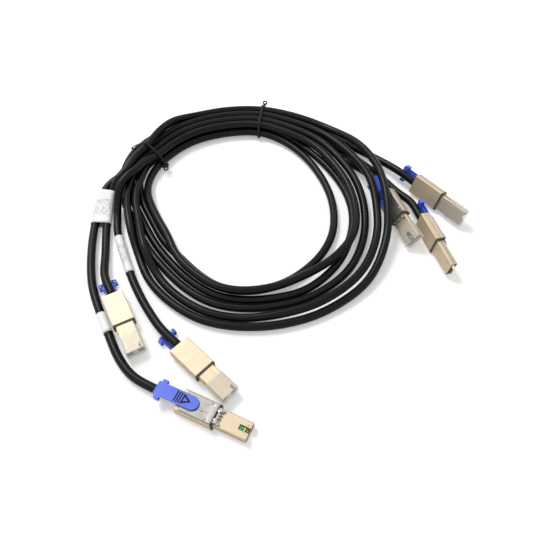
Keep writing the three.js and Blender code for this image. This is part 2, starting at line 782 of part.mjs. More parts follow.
Object.entries(PLUGS).forEach(([place_, plug]) => {
  const matrix = plugMatrix(plug);
  Object.entries(plugParts).forEach(([part, [solid, colour]]) => {
    addMesh(`${place_}_${part}`, fromSolid(solid).applyMatrix4(matrix), colour);
  });
  if (plug.cap) {
    addMesh(`${place_}_dust_cap`, fromSolid(capSolid).applyMatrix4(matrix), COLOURS.cap);
  }
});

Object.entries(CABLES).forEach(([name, cable]) => {
  addMesh(name, tube(route(cable)), COLOURS.jacket);
});

const tieLeft = tieSection(TOP[0], 0, Object.keys(BUNDLE));
const tieRight = tieSection(TOP[5], 5, Object.keys(BUNDLE));
const inner = BUNDLE.floor_1[0];
const outer = BUNDLE.floor_5[5];
const leftHead = tieHead(
  inner[0] - TIE_SLACK - CABLE_R - TIE_FIT - TIE_LEFT_HEAD_OUT,
  inner[1] + TIE_LEFT_HEAD_UP,
  0,
);
const rightHead = tieHead(
  outer[0] + CABLE_R + TIE_FIT + TIE_RIGHT_HEAD_OUT,
  outer[1] + TIE_RIGHT_HEAD_UP,
  0,
);
addMesh("tie_left", band(TOP[0], tieLeft, TIE_T, TIE_W, leftHead), COLOURS.tie);
addMesh("tie_right", band(TOP[5], tieRight, TIE_T, TIE_W, rightHead), COLOURS.tie);

const labelRadius = CABLE_R + LABEL_FIT;
addMesh("label_front", sleeve(stepsOf("cable_front", 4, 5), labelRadius, labelRadius), COLOURS.label);
addMesh("label_middle", sleeve(stepsOf("cable_middle", 4, 6), labelRadius, labelRadius), COLOURS.label);
addMesh("label_pair", sleeve(LABEL_PAIR_LINE, LABEL_PAIR_HALF, labelRadius + 0.9), COLOURS.label);

export default root;
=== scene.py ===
"""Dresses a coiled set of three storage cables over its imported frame.

The frame's unit is the metre, +Z is up and the floor is z = 0. Tables here are in
millimetres, as on the drawing, and become metres where a piece is built.
"""

import logging
import math
from dataclasses import dataclass, field
from enum import Enum
from typing import Callable, Iterable, Sequence

import bmesh
import bpy
from bpy.types import ID, Light, Material, Node, NodeSocket, NodeTree, Object, bpy_prop_collection
from mathutils import Matrix, Vector


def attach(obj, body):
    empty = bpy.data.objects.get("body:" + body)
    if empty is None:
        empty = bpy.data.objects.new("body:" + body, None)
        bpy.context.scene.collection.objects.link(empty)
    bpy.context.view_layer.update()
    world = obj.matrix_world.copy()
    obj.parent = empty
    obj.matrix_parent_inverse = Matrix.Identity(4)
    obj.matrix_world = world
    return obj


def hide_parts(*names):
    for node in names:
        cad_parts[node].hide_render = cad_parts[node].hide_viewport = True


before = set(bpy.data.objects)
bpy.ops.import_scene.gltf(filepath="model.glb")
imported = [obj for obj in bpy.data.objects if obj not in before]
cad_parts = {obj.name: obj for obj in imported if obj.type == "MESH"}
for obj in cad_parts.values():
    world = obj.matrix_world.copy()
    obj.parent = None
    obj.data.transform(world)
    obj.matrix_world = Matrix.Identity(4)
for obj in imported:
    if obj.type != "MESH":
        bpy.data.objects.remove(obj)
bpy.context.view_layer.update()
log = logging.getLogger("cable_set")

MM = 0.001
SAME_PLACE = 1e-7
WELD_REACH = 2e-6
SPLINE_STEP = 0.4
MIDDLE = Vector((4.67, 43.22, 0.1))
UP = Vector((0, 0, 1))
Point = Sequence[float]
Pair = tuple[float, float]
Outline = Sequence[Pair]
Face = tuple[int, ...]
Stations = list[tuple[Point, Point]]
Shape = tuple[list[Vector], list[Face]]


# Where things lie


@dataclass(frozen=True)
class PlugPose:
    """The place of one plug: centre of its rear face, heading and roll in degrees."""

    at: Point
    heading: float
    roll: float
    cap: bool


PLUG_POSES: dict[str, PlugPose] = {
    "left_front": PlugPose((-86.9, -144.2, 5.3), -25, 0, False),
    "left_outer": PlugPose((-166.5, -32.5, 8.7), -62.5, 180, True),
    "left_middle": PlugPose((-92.6, -90.2, 8.7), -44, 180, True),
    "right_inner": PlugPose((128, 105, 11.6), -70, 50, True),
    "right_middle": PlugPose((165, 67.5, 12), -73, -98, False),
    "right_outer": PlugPose((165, 124, 12.5), -49.5, -112, True),
}

# Stations round the coil: a point on its inner edge and the direction outwards
TOP_STATIONS: Stations = [
    ((-136, 161), (-0.84, 0.54)), ((-121, 181), (-0.74, 0.67)), ((-107, 194), (-0.6, 0.8)),
    ((-90, 204), (-0.41, 0.91)), ((-56, 214), (-0.14, 0.99)), ((-21, 214), (0.12, 0.99)),
]
LOW_STATIONS: Stations = [
    ((8, 200), (0.42, 0.91)), ((33, 174), (0.66, 0.75)), ((50, 143), (0.85, 0.53)),
    ((60, 112), (0.96, 0.27)), ((63, 82), (1, 0)), ((59, 52), (0.98, -0.22)),
    ((45, 24), (0.83, -0.56)), ((18, -3), (0.6, -0.8)), ((-9, -16), (0.33, -0.94)),
    ((-36, -19), (0, -1)), ((-57, -14), (-0.35, -0.94)), ((-78, 1), (-0.6, -0.8)),
    ((-97, 22), (-0.74, -0.67)), ((-114, 46), (-0.83, -0.56)), ((-130, 75), (-0.9, -0.43)),
    ((-144, 108), (-0.985, -0.17)), ((-146, 133), (-0.995, 0.1)), ((-143, 147), (-0.94, 0.34)),
]

# Places in the tied bundle, one (distance outwards, height) for each top station
BUNDLE: dict[str, list[Point]] = {
    "floor_1": [(4.7, 6.8), (4.7, 6.4), (4.7, 6.4), (4.7, 6.4), (4.7, 6.4), (4.8, 6.8)],
    "floor_2": [(15, 6.8), (14.8, 6.4), (14.5, 6.4), (14.5, 6.4), (14.5, 6.4), (14.7, 6.8)],
    "floor_3": [(25.1, 6.8), (24.7, 6.4), (24.3, 6.4), (24.3, 6.4), (24.3, 6.4), (24.6, 6.8)],
    "floor_4": [(35, 6.8), (34.6, 6.4), (34.2, 6.4), (34.1, 6.4), (34.1, 6.4), (34.1, 6.8)],
    "floor_5": [(44.9, 6.8), (44.4, 6.4), (44.1, 6.4), (43.9, 6.4), (43.9, 6.4), (43.9, 6.8)],
    "upper_1": [(9.6, 16.4), (9.6, 15), (9.6, 15), (9.6, 15), (9.6, 15), (9.8, 15.4)],
    "upper_2": [(19.4, 15.2), (19.4, 15), (19.4, 15), (19.4, 15), (19.4, 15), (19.5, 15.4)],
    "upper_3": [(29.3, 15.2), (29.2, 15), (29.2, 15), (29.2, 15), (29.2, 15), (29.2, 15.4)],
    "upper_4": [(24.3, 23.9), (30.1, 25), (36.4, 22.2), (39.2, 15.8), (39, 15), (39, 15.4)],
}

# Lanes of the loose part of the coil, one (distance outwards, height) for each low station
LANES: dict[str, list[Point]] = {
    "inner": [
        (4.7, 5.6), (4.7, 5), (4.7, 4.8), (4.7, 4.8), (4.7, 4.8), (4.7, 4.8),
        (4.7, 4.8), (4.7, 4.8), (4.7, 4.8), (4.8, 4.8), (4.8, 4.8), (5, 4.8),
        (6, 4.8), (9.4, 4.8), (9.8, 4.8), (12.2, 4.8), (17, 5.2), (21.7, 5.8),
    ],
    "second": [
        (14.5, 5.6), (15.5, 5), (20, 4.8), (24, 4.8), (26, 4.8), (25, 4.8),
        (25.5, 4.8), (24, 4.8), (18, 4.8), (15.6, 4.8), (15.6, 4.8), (16.4, 4.8),
        (17.6, 4.8), (19.2, 4.8), (19.7, 4.8), (22.2, 4.8), (27.4, 5.2), (31.6, 5.8),
    ],
    "riding": [
        (11.7, 15.2), (19.8, 14.4), (23.5, 14.4), (26.5, 14.6), (28.2, 14.6), (28, 14.6),
        (21, 14.4), (12, 13.4), (10, 13.4), (9.8, 13.4), (9.8, 13.4), (10, 13.6),
        (10.2, 14.2), (4.9, 14.2), (4.7, 13.8), (4.2, 10.8), (4.7, 5.6), (4.7, 6.1),
    ],
    "third": [
        (21.8, 15.2), (30.3, 15), (34.5, 14.9), (38, 13.5), (39.7, 8), (39.5, 4.8),
        (39.5, 4.8), (34.2, 4.8), (28, 4.8), (25.6, 4.8), (25.6, 4.8), (26.4, 4.8),
        (27.4, 4.8), (29, 4.8), (29.8, 4.8), (32.3, 4.8), (37.6, 5.2), (41.5, 5.8),
    ],
    "fourth": [
        (32.6, 15.4), (42.5, 15.6), (48, 18.6), (52, 21), (51.5, 18.6), (53, 14.5),
        (53.5, 12.6), (47.5, 11.8), (40, 8.2), (37.2, 4.8), (37.5, 4.8), (38.5, 4.8),
        (38, 6.2), (33, 14.4), (24.8, 14.5), (17.4, 14.4), (11.9, 13.9), (13.6, 11.4),
    ],
    "outer": [
        (43.6, 15.6), (54, 16.5), (60.8, 26.6), (62.8, 30.4), (62.4, 25.8), (63.6, 15.5),
        (63.8, 7.5), (56, 4.8), (50.2, 4.8), (47.2, 4.8), (47.5, 4.8), (48.5, 4.8),
        (47.9, 4.8), (41.3, 6.2), (35.2, 14.5), (27.3, 14.5), (22.4, 14.2), (22.8, 16.8),
    ],
}

LEADS_IN: dict[str, list[Point]] = {
    "left_front": [
        (-133.8, -120.3, 5.2), (-150.3, -101, 5.2), (-163.4, -76.6, 5.2), (-180, -44, 5.2),
        (-191.5, -16, 5.2), (-200, 25, 5.2), (-203.5, 64, 5.2), (-203.5, 90, 6.5),
        (-201, 110, 10), (-193, 124, 13), (-179, 137.3, 14.6), (-173.4, 158, 15.2),
    ],
    "left_outer": [
        (-184, 22, 5.6), (-190, 64, 5.2), (-191, 90, 6.7), (-189.5, 106, 11.6),
        (-184, 122, 20.6), (-173.7, 136.8, 23.4), (-167.4, 155.8, 23.7),
    ],
    "left_middle": [
        (-133, -41, 6), (-148, -14, 5.2), (-160, 13, 5.2), (-170, 38, 5.2), (-175.5, 52, 5.2),
        (-178.3, 68, 5.8), (-180.1, 85, 10), (-180.4, 99, 17.4), (-177.5, 114, 24),
        (-170.4, 124.5, 25.2), (-163, 135.5, 23.8), (-155.4, 151, 21.8),
    ],
}
LEADS_OUT: dict[str, list[Point]] = {
    "right_inner": [
        (19, 223.7, 5.6), (53, 199, 5), (84, 173, 4.8), (99, 157, 6.5), (110, 143.5, 10),
    ],
    "right_middle": [
        (23, 233, 5.6), (60, 207.5, 5), (96, 176, 4.8), (124, 144, 6), (143, 113, 8.5),
    ],
    "right_outer": [(28, 243, 5.6), (66.5, 216, 5), (103, 189.5, 4.8), (126, 170, 7)],
}


# Shader helpers


class Tree:
    """A thin wrapper that adds and links nodes in one node tree, laid out from the left."""

    left = -1400
    step = 180

    def __init__(self, tree: NodeTree) -> None:
        """Keeps the tree and a cursor for the nodes' places."""
        self.tree = tree
        self.x = self.left

    def add(self, kind: str, inputs: dict | None = None, **settings: object) -> Node:
        """Adds a node.

        Args:
            kind: Blender's name of the node type.
            inputs: what its sockets get, as in feed().
            **settings: properties of the node.

        Returns:
            The new node.
        """
        node = self.tree.nodes.new(kind)
        node.location = (self.x, 0)
        self.x += self.step
        for name, value in settings.items():
            setattr(node, name, value)
        self.feed(node, inputs or {})
        return node

    def feed(self, node: Node, inputs: dict) -> None:
        """Fills a node's inputs.

        Args:
            node: the node.
            inputs: by socket name or number, a value or the output that feeds it.
        """
        for key, value in inputs.items():
            if isinstance(value, NodeSocket):
                self.tree.links.new(value, node.inputs[key])
            else:
                node.inputs[key].default_value = value

    def math(self, operation: str, one: object, two: object) -> NodeSocket:
        """Adds a calculation with two numbers or outputs, and returns its result."""
        return self.add("ShaderNodeMath", {0: one, 1: two}, operation=operation).outputs[0]

    def mix(self, factor: object, one: object, two: object) -> NodeSocket:
        """Adds a mix of two colours, and returns its result."""
        return self.add("ShaderNodeMix", {0: factor, 6: one, 7: two}, data_type="RGBA").outputs[2]

    def span(self, value: NodeSocket, low: float, high: float) -> NodeSocket:
        """Maps an output from 0..1 to a range, and returns the result."""
        inputs = {"Value": value, "To Min": low, "To Max": high}
        return self.add("ShaderNodeMapRange", inputs).outputs["Result"]

    def combined(self, **axes: object) -> NodeSocket:
        """Makes a vector of numbers or outputs by axis, and returns it."""
        return self.add("ShaderNodeCombineXYZ", axes).outputs["Vector"]

    def bright_ray(self) -> NodeSocket:
        """Gives 1 for what the camera sees directly, through a clear part or mirrored."""
        rays = self.add("ShaderNodeLightPath").outputs
        seen = self.math("MAXIMUM", rays["Is Camera Ray"], rays["Is Transmission Ray"])
        return self.math("MAXIMUM", seen, rays["Is Glossy Ray"])


def new_group(
    name: str, numbers: dict[str, float], results: Sequence[str]
) -> tuple[Tree, Node, Node]:
    """Makes an empty shader node group that reads Coordinates.

    Args:
        name: the group's name.
        numbers: its number inputs and their defaults.
        results: its number outputs.

    Returns:
        The wrapped tree, its input node and its output node.
    """
    group = bpy.data.node_groups.new(name, "ShaderNodeTree")
    face = group.interface
    face.new_socket("Coordinates", in_out="INPUT", socket_type="NodeSocketVector")
    for label, value in numbers.items():
        socket = face.new_socket(label, in_out="INPUT", socket_type="NodeSocketFloat")
        socket.default_value = value
    for label in results:
        face.new_socket(label, in_out="OUTPUT", socket_type="NodeSocketFloat")
    tree = Tree(group)
    return tree, tree.add("NodeGroupInput"), tree.add("NodeGroupOutput")


def make_surface_grain() -> NodeTree:
    """Builds the group that gives fine grain and broad mottling.

    Returns:
        The group: Coordinates, Fine, Broad -> Grain, Mottle.
    """
    tree, source, sink = new_group(
        "surface_grain", {"Fine": 2500.0, "Broad": 60.0}, ("Grain", "Mottle")
    )
    for scale, detail, roughness, result in (
        ("Fine", 3.0, 0.6, "Grain"),
        ("Broad", 4.0, 0.55, "Mottle"),
    ):
        noise = tree.add("ShaderNodeTexNoise", {
            "Vector": source.outputs["Coordinates"], "Scale": source.outputs[scale],
            "Detail": detail, "Roughness": roughness,
        })
        tree.feed(sink, {result: noise.outputs["Fac"]})
    return tree.tree


def make_scuffs() -> NodeTree:
    """Builds the group that gives sparse small handling marks.

    Returns:
        The group: Coordinates, Scale, Amount -> Mask.
    """
    tree, source, sink = new_group("handling_scuffs", {"Scale": 180.0, "Amount": 0.3}, ("Mask",))
    stretch = tree.add("ShaderNodeMapping", {
        "Vector": source.outputs["Coordinates"],
        "Scale": (1.0, 0.25, 1.0), "Rotation": (0.3, 0.2, 0.7),
    })
    noise = tree.add("ShaderNodeTexNoise", {
        "Vector": stretch.outputs["Vector"], "Scale": source.outputs["Scale"],
        "Detail": 5.0, "Roughness": 0.75,
    })
    sparse = tree.add("ShaderNodeMapRange", {
        "Value": noise.outputs["Fac"], "From Min": 0.62, "From Max": 0.78,
    })
    mask = tree.math("MULTIPLY", sparse.outputs["Result"], source.outputs["Amount"])
    tree.feed(sink, {"Mask": mask})
    return tree.tree


GRAIN = make_surface_grain()
SCUFFS = make_scuffs()
Colour = tuple[float, float, float]


class Coordinates(Enum):
    """Where a pattern is read from."""

    OBJECT = "Object"
    UV = "UV"


@dataclass(frozen=True)
class Finish:
    """A solid finish with grain, mottling and handling marks.

    Two base colours are mixed by the mottling, and a third shows in the marks.
    """

    name: str
    colour: Colour
    shade: Colour
    mark: Colour
    metallic: float = 0.0
    rough: float = 0.4
    rough_spread: float = 0.1
    fine: float = 2500.0
    broad: float = 60.0
    bump: float = 0.1
    bump_depth: float = 0.00005
    marks: float = 0.3
    mark_scale: float = 180.0
    specular: float = 0.5
    stretch: Colour = (1.0, 1.0, 1.0)

    def material(self) -> Material:
        """Builds the finish, or finds it when it was built before.

        Returns:
            The material.
        """
        found = bpy.data.materials.get(self.name)
        if found:
            return found
        material = bpy.data.materials.new(self.name)
        material.use_nodes = True
        tree = Tree(material.node_tree)
        place = tree.add("ShaderNodeTexCoord")
        spot = place.outputs[Coordinates.OBJECT.value]
        stretched = tree.add("ShaderNodeMapping", {"Vector": spot, "Scale": self.stretch})
        grain = tree.add("ShaderNodeGroup", {
            "Coordinates": stretched.outputs["Vector"], "Fine": self.fine, "Broad": self.broad,
        }, node_tree=GRAIN)
        scuffs = tree.add("ShaderNodeGroup", node_tree=SCUFFS)
        tree.feed(scuffs, {"Coordinates": spot, "Scale": self.mark_scale, "Amount": self.marks})
        mottle = grain.outputs["Mottle"]
        base = tree.mix(mottle, (*self.colour, 1.0), (*self.shade, 1.0))
        worn = tree.mix(scuffs.outputs["Mask"], base, (*self.mark, 1.0))
        bump = tree.add("ShaderNodeBump", {
            "Strength": self.bump, "Distance": self.bump_depth, "Height": grain.outputs["Grain"],
        })
        low, high = self.rough - self.rough_spread, self.rough + self.rough_spread
        shader = material.node_tree.nodes["Principled BSDF"]
        tree.feed(shader, {
            "Metallic": self.metallic, "Specular IOR Level": self.specular,
            "Base Color": self.painted(tree, place, worn),
            "Roughness": tree.span(mottle, low, high), "Normal": bump.outputs["Normal"],
        })
        self.extra(tree, shader)
        return material

    def painted(
        self, tree: Tree, place: Node, colour: NodeSocket
    ) -> NodeSocket:
        """Lets a finish print over its base colour.

        Args:
            tree: the material's tree.
            place: the texture coordinate node.
            colour: the plain colour.

        Returns:
            The colour socket to use.
        """
        return colour

    def extra(self, tree: Tree, shader: Node) -> None:
        """Adds what one kind of finish has beyond the others."""


@dataclass(frozen=True)
class ClearFinish(Finish):
    """Clear moulded plastic: see-through face on, denser at grazing angles."""

    face_alpha: float = 0.11
    edge_alpha: float = 0.5
    grazing: float = 0.35

    def extra(self, tree: Tree, shader: Node) -> None:
        """Links the alpha to the facing angle."""
        facing = tree.add("ShaderNodeLayerWeight", {"Blend": self.grazing}).outputs["Facing"]
        tree.feed(shader, {"Alpha": tree.span(facing, self.face_alpha, self.edge_alpha)})


@dataclass(frozen=True)
class PrintedFinish(Finish):
    """Label film with broken grey rows along its own UV map, inside a window of it."""

    ink: Colour = (0.38, 0.38, 0.39)
    rows: float = 38.0
    words: float = 30.0
    gaps: float = 0.45
    row_share: float = 0.5
    along: Pair = (0.22, 0.74)
    around: Pair = (0.08, 0.42)

    def painted(
        self, tree: Tree, place: Node, colour: NodeSocket
    ) -> NodeSocket:
        """Prints broken rows that run along the sleeve, inside the window."""
        sleeve = place.outputs[Coordinates.UV.value]
        cells = tree.add("ShaderNodeVectorMath", operation="MULTIPLY")
        tree.feed(cells, {0: sleeve, 1: (self.words, self.rows, 1.0)})
        whole, part = (
            tree.add("ShaderNodeVectorMath", {0: cells.outputs[0]}, operation=name).outputs[0]
            for name in ("FLOOR", "FRACTION")
        )
        noise = tree.add("ShaderNodeTexWhiteNoise", {"Vector": whole}, noise_dimensions="3D")
        in_cell, on_sleeve = (
            tree.add("ShaderNodeSeparateXYZ", {"Vector": source}).outputs
            for source in (part, sleeve)
        )
        mask = 1.0
        for value, operation, limit in (
            (noise.outputs["Value"], "GREATER_THAN", self.gaps),
            (in_cell["Y"], "LESS_THAN", self.row_share),
            (on_sleeve["X"], "GREATER_THAN", self.along[0]),
            (on_sleeve["X"], "LESS_THAN", self.along[1]),
            (on_sleeve["Y"], "GREATER_THAN", self.around[0]),
            (on_sleeve["Y"], "LESS_THAN", self.around[1]),
        ):
            mask = tree.math("MULTIPLY", mask, tree.math(operation, value, limit))
        return tree.mix(mask, colour, (*self.ink, 1.0))


# The jacket's lighter marks are partly dust and partly painted sheen: whitish specks that stand in
# for small glints.
JACKET = Finish(
    "black_jacket", (0.0028, 0.0028, 0.0031), (0.005, 0.005, 0.0053), (0.022, 0.022, 0.023),
    specular=0.16, rough=0.3, rough_spread=0.1, fine=1500, broad=90, bump=0.25, bump_depth=0.0002,
    marks=0.35, mark_scale=260,
)
CAST_METAL = Finish(
    "champagne_casting", (0.62, 0.52, 0.37), (0.55, 0.455, 0.32), (0.76, 0.69, 0.57),
    metallic=0.55, rough=0.5, rough_spread=0.08, fine=2600, broad=140, bump=0.22,
    bump_depth=0.00012, marks=0.3,
)
STEEL = Finish(
    "stamped_steel", (0.40, 0.385, 0.36), (0.26, 0.25, 0.235), (0.60, 0.59, 0.57),
    metallic=0.85, rough=0.36, rough_spread=0.1, fine=900, broad=120, bump=0.2,
    bump_depth=0.0001, stretch=(6.0, 1.0, 1.0),
)
BLUE_STRAP = Finish(
    "blue_strap", (0.085, 0.165, 0.86), (0.07, 0.14, 0.78), (0.15, 0.25, 0.95),
    rough=0.42, rough_spread=0.08, fine=2000, broad=70, bump=0.12, bump_depth=0.0001,
    marks=0.15,
)
CLEAR_CAP = ClearFinish(
    "clear_cap", (0.97, 0.96, 0.94), (0.93, 0.92, 0.90), (0.98, 0.98, 0.98),
    rough=0.14, rough_spread=0.05, fine=400, broad=60, bump=0.05, marks=0.2,
)
CARD = Finish(
    "card_lacquer", (0.02, 0.30, 0.13), (0.03, 0.36, 0.16), (0.08, 0.45, 0.22),
    rough=0.3, rough_spread=0.05, fine=1500, broad=250, bump=0.1,
)
GOLD = Finish(
    "gold_pads", (0.80, 0.50, 0.14), (0.85, 0.56, 0.2), (0.9, 0.65, 0.3),
    metallic=1.0, rough=0.22, rough_spread=0.05, fine=3000, broad=300,
)
GASKET = Finish(
    "dark_gasket", (0.075, 0.066, 0.05), (0.05, 0.045, 0.035), (0.12, 0.11, 0.09),
    rough=0.6, rough_spread=0.1, fine=1800, broad=300, bump=0.3,
)
# Painted shade: a near-black finish for the flat sheet that stands in for the shaded inside of the
# slot behind the nose's notch.
SHADE = Finish(
    "slot_shade", (0.012, 0.014, 0.012), (0.02, 0.022, 0.02), (0.04, 0.04, 0.04),
    specular=0.15, rough=0.7, rough_spread=0.05, fine=1800, broad=300,
)
FILM = dict(
    colour=(0.96, 0.96, 0.97), shade=(0.91, 0.91, 0.93), mark=(0.8, 0.8, 0.82),
    rough=0.5, rough_spread=0.08, fine=700, broad=60, bump=0.1, bump_depth=0.0002,
)
PAPER = Finish("label_film", **FILM)
PRINTED = PrintedFinish("printed_label_film", **FILM)
INK = Finish(
    "strap_ink", (0.004, 0.005, 0.012), (0.006, 0.007, 0.015), (0.015, 0.015, 0.03),
    specular=0.2, rough=0.6, rough_spread=0.05, fine=1500, broad=200,
)
COVER = Finish(
    "brushed_cover", (0.33, 0.315, 0.29), (0.20, 0.19, 0.175), (0.52, 0.51, 0.49),
    metallic=0.75, rough=0.42, rough_spread=0.12, fine=700, broad=160, bump=0.3,
    bump_depth=0.0002, stretch=(1.0, 5.0, 1.0),
)
MARK = Finish(
    "cap_mark_ink", (0.16, 0.15, 0.22), (0.2, 0.19, 0.26), (0.3, 0.3, 0.35),
    rough=0.5, rough_spread=0.05, fine=1500, broad=200,
)
TIE_COAT = Finish(
    "tie_coating", (0.003, 0.003, 0.0032), (0.005, 0.005, 0.0053), (0.02, 0.02, 0.02),
    specular=0.25, rough=0.38, rough_spread=0.08, fine=1500, broad=200, bump=0.2,
)


# Mesh helpers


def centred(point: Point) -> Vector:
    """Turns a point of the drawing into the frame, in metres."""
    return (Vector(point) - MIDDLE) * MM


def new_object(name: str, data: ID) -> Object:
    """Makes an object from its data and links it to the scene."""
    made = bpy.data.objects.new(name, data)
    bpy.context.collection.objects.link(made)
    return made


def new_piece(
    name: str, shape: Shape, finish: Finish, body: str = "root", smooth: bool = True
) -> Object:
    """Makes a mesh piece that rides on a body.

    Args:
        name: the piece's name.
        shape: its points in metres, in the frame, and its faces.
        finish: its finish.
        body: the body that it rides on.
        smooth: whether its faces are shaded smooth.

    Returns:
        The object.
    """
    vertices, faces = shape
    mesh = bpy.data.meshes.new(name)
    mesh.from_pydata([tuple(v) for v in vertices], [], faces)
    mesh.materials.append(finish.material())
    piece = new_object(name, mesh)
    for polygon in mesh.polygons:
        polygon.use_smooth = smooth
    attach(piece, body)
    return piece


def unwrap(piece: Object, coordinates: list[Pair]) -> None:
    """Writes one (u, v) for each vertex as the piece's UV map."""
    layer = piece.data.uv_layers.new(name="along")
    for loop in piece.data.loops:
        layer.data[loop.index].uv = coordinates[loop.vertex_index]


def outward(piece: Object) -> None:
    """Merges doubles and turns every face of a mesh piece outwards."""
    work = bmesh.new()
    work.from_mesh(piece.data)
    bmesh.ops.remove_doubles(work, verts=work.verts, dist=SAME_PLACE)
    bmesh.ops.recalc_face_normals(work, faces=work.faces)
    work.to_mesh(piece.data)
    work.free()


def even_shading(piece: Object) -> None:
    """Weights a piece's normals by its faces' sizes, so that flat faces look flat."""
    piece.modifiers.new("shading", "WEIGHTED_NORMAL").keep_sharp = True


def rounded(piece: Object, width: float, angle: float = 30.0) -> None:
    """Adds a weld and a small rounding to a piece with sharp edges.

    Args:
        piece: a mesh object.
        width: the rounding's size in millimetres.
        angle: edges sharper than this are rounded, in degrees.
    """
    piece.modifiers.new("weld", "WELD").merge_threshold = WELD_REACH
    bevel = piece.modifiers.new("rounding", "BEVEL")
    bevel.width = width * MM
    bevel.segments = 2
    bevel.limit_method = "ANGLE"
    bevel.angle_limit = math.radians(angle)
    bevel.use_clamp_overlap = True
    bevel.harden_normals = False
    even_shading(piece)


def dress_node(name: str, finish: Finish, rounding: float = 0.0) -> None:
    """Gives a carried-over node its finish.

    Args:
        name: the node's name.
        finish: the finish to use.
        rounding: size of its rounded edges in millimetres, or 0.
    """
    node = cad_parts[name]
    material = finish.material()
    if node.material_slots:
        for slot in node.material_slots:
            slot.material = material
    else:
        node.data.materials.append(material)
    if rounding > 0:
        rounded(node, rounding)


def smooth_line(points: list[Vector], step: float, blur: int) -> list[Vector]:
    """Samples a centripetal spline through points, evenly, and softens it.

    Args:
        points: the route's points.
        step: the distance between samples.
        blur: how many smoothing passes it gets.

    Returns:
        Points a step apart, with the same ends.
    """
    padded = [points[0] * 2 - points[1], *points, points[-1] * 2 - points[-2]]
    dense: list[Vector] = []
    for p0, p1, p2, p3 in zip(padded, padded[1:], padded[2:], padded[3:]):
        t1 = (p1 - p0).length ** 0.5
        t2 = t1 + (p2 - p1).length ** 0.5
        t3 = t2 + (p3 - p2).length ** 0.5
        count = max(4, int((p2 - p1).length / (step * SPLINE_STEP)))
        for k in range(count):
            share = k / count
            t = t1 + (t2 - t1) * share
            one, two = p0.lerp(p1, t / t1), p1.lerp(p2, share)
            three = p2.lerp(p3, (t - t2) / (t3 - t2))
            near, far = one.lerp(two, t / t2), two.lerp(three, (t - t1) / (t3 - t1))
            dense.append(near.lerp(far, share))
    dense.append(points[-1].copy())
    line = evenly(dense, step)
    for _ in range(blur):
        inner = [(a + b * 2 + c) / 4 for a, b, c in zip(line, line[1:], line[2:])]
        line = [line[0], *inner, line[-1]]
    return line


def run_of(line: list[Vector]) -> float:
    """Measures a polyline."""
    return sum((b - a).length for a, b in zip(line, line[1:]))


def evenly(points: list[Vector], step: float) -> list[Vector]:
    """Resamples a polyline at an even distance, near the given step."""
    total = run_of(points)
    count = max(2, round(total / step))
    gap = total / count
    result = [points[0].copy()]
    target, run = gap, 0.0
    for a, b in zip(points, points[1:]):
        length = (b - a).length
        while length > 0 and run + length >= target - 1e-12 and len(result) < count:
            result.append(a.lerp(b, (target - run) / length))
            target += gap
        run += length
    result.append(points[-1].copy())
    return result


def lofted(rings: int, sides: int, closed: bool = False, start: int = 0) -> list[Face]:
    """Lists the faces between rings of vertices that follow one another.

    Args:
        rings: how many rings there are.
        sides: how many vertices each has.
        closed: whether the last ring meets the first.
        start: the number of the first vertex.

    Returns:
        The faces.
    """
    faces: list[Face] = []
    for i in range(rings if closed else rings - 1):
        a, b = start + i * sides, start + (i + 1) % rings * sides
        for k in range(sides):
            n = (k + 1) % sides
            faces.append((a + k, a + n, b + n, b + k))
    return faces


def prisms(pairs: Iterable[tuple[list[Vector], list[Vector]]]) -> Shape:
    """Joins pairs of equal outlines into closed prisms.

    Args:
        pairs: the two outlines of each prism.

    Returns:
        Vertices and faces.
    """
    vertices, faces = [], []
    for one, two in pairs:
        s, n = len(vertices), len(one)
        vertices += [*one, *two]
        faces += [tuple(range(s + n - 1, s - 1, -1)), tuple(range(s + n, s + 2 * n))]
        faces += lofted(2, n, start=s)
    return vertices, faces


def box(x0: float, x1: float, y0: float, y1: float) -> Outline:
    """Gives a rectangle's outline."""
    return [(x0, y0), (x1, y0), (x1, y1), (x0, y1)]


def swept(
    line: list[Vector], radius: float, sides: int, closed: bool = False
) -> tuple[Shape, list[Pair]]:
    """Carries a round section along a line without twist.

    Args:
        line: the points that it follows.
        radius: the section's radius in metres.
        sides: how many sides it has.
        closed: whether the line closes on itself.

    Returns:
        The shape, and one (distance along, share of the turn) for each vertex.
    """
    count, last = len(line), len(line) - 1
    vertices, coordinates = [], []
    run = 0.0
    across = None
    for i, point in enumerate(line):
        after = line[(i + 1) % count] if closed or i < last else point
        before = line[i - 1] if closed or i > 0 else point
        ahead = (after - before).normalized()
        if across is None:
            across = ahead.cross(UP)
        across = (across - ahead * across.dot(ahead)).normalized()
        up = across.cross(ahead)
        if i:
            run += (point - line[i - 1]).length
        for k in range(sides):
            turn = 2 * math.pi / sides * k
            side, rise = math.cos(turn) * radius, math.sin(turn) * radius
            vertices.append(point + across * side + up * rise)
            coordinates.append((run, k / sides))
    faces = lofted(count, sides, closed)
    if not closed:
        faces.append(tuple(range(sides - 1, -1, -1)))
        faces.append(tuple(range(last * sides, count * sides)))
    return (vertices, faces), coordinates


# Studio


@dataclass
class PhotoCamera:
    """The camera of the photograph: a square frame, seen from the front and above."""

    elevation: float = 55.0
    distance: float = 600.0
    focal_px: float = 560.0
    frame_px: float = 550.0
    sensor: float = 36.0
    clip: Pair = (0.01, 20.0)

    def build(self) -> None:
        """Makes the camera and gives it to the scene."""
        data = bpy.data.cameras.new("photo_camera")
        data.sensor_width = self.sensor
        data.lens = self.sensor * self.focal_px / self.frame_px
        data.clip_start, data.clip_end = self.clip
        camera = new_object("photo_camera", data)
        tilt = math.radians(self.elevation)
        seat = Vector((0, -math.cos(tilt), math.sin(tilt))) * self.distance
        camera.location = centred(seat)
        camera.rotation_euler = (math.radians(90 - self.elevation), 0, 0)
        bpy.context.scene.camera = camera


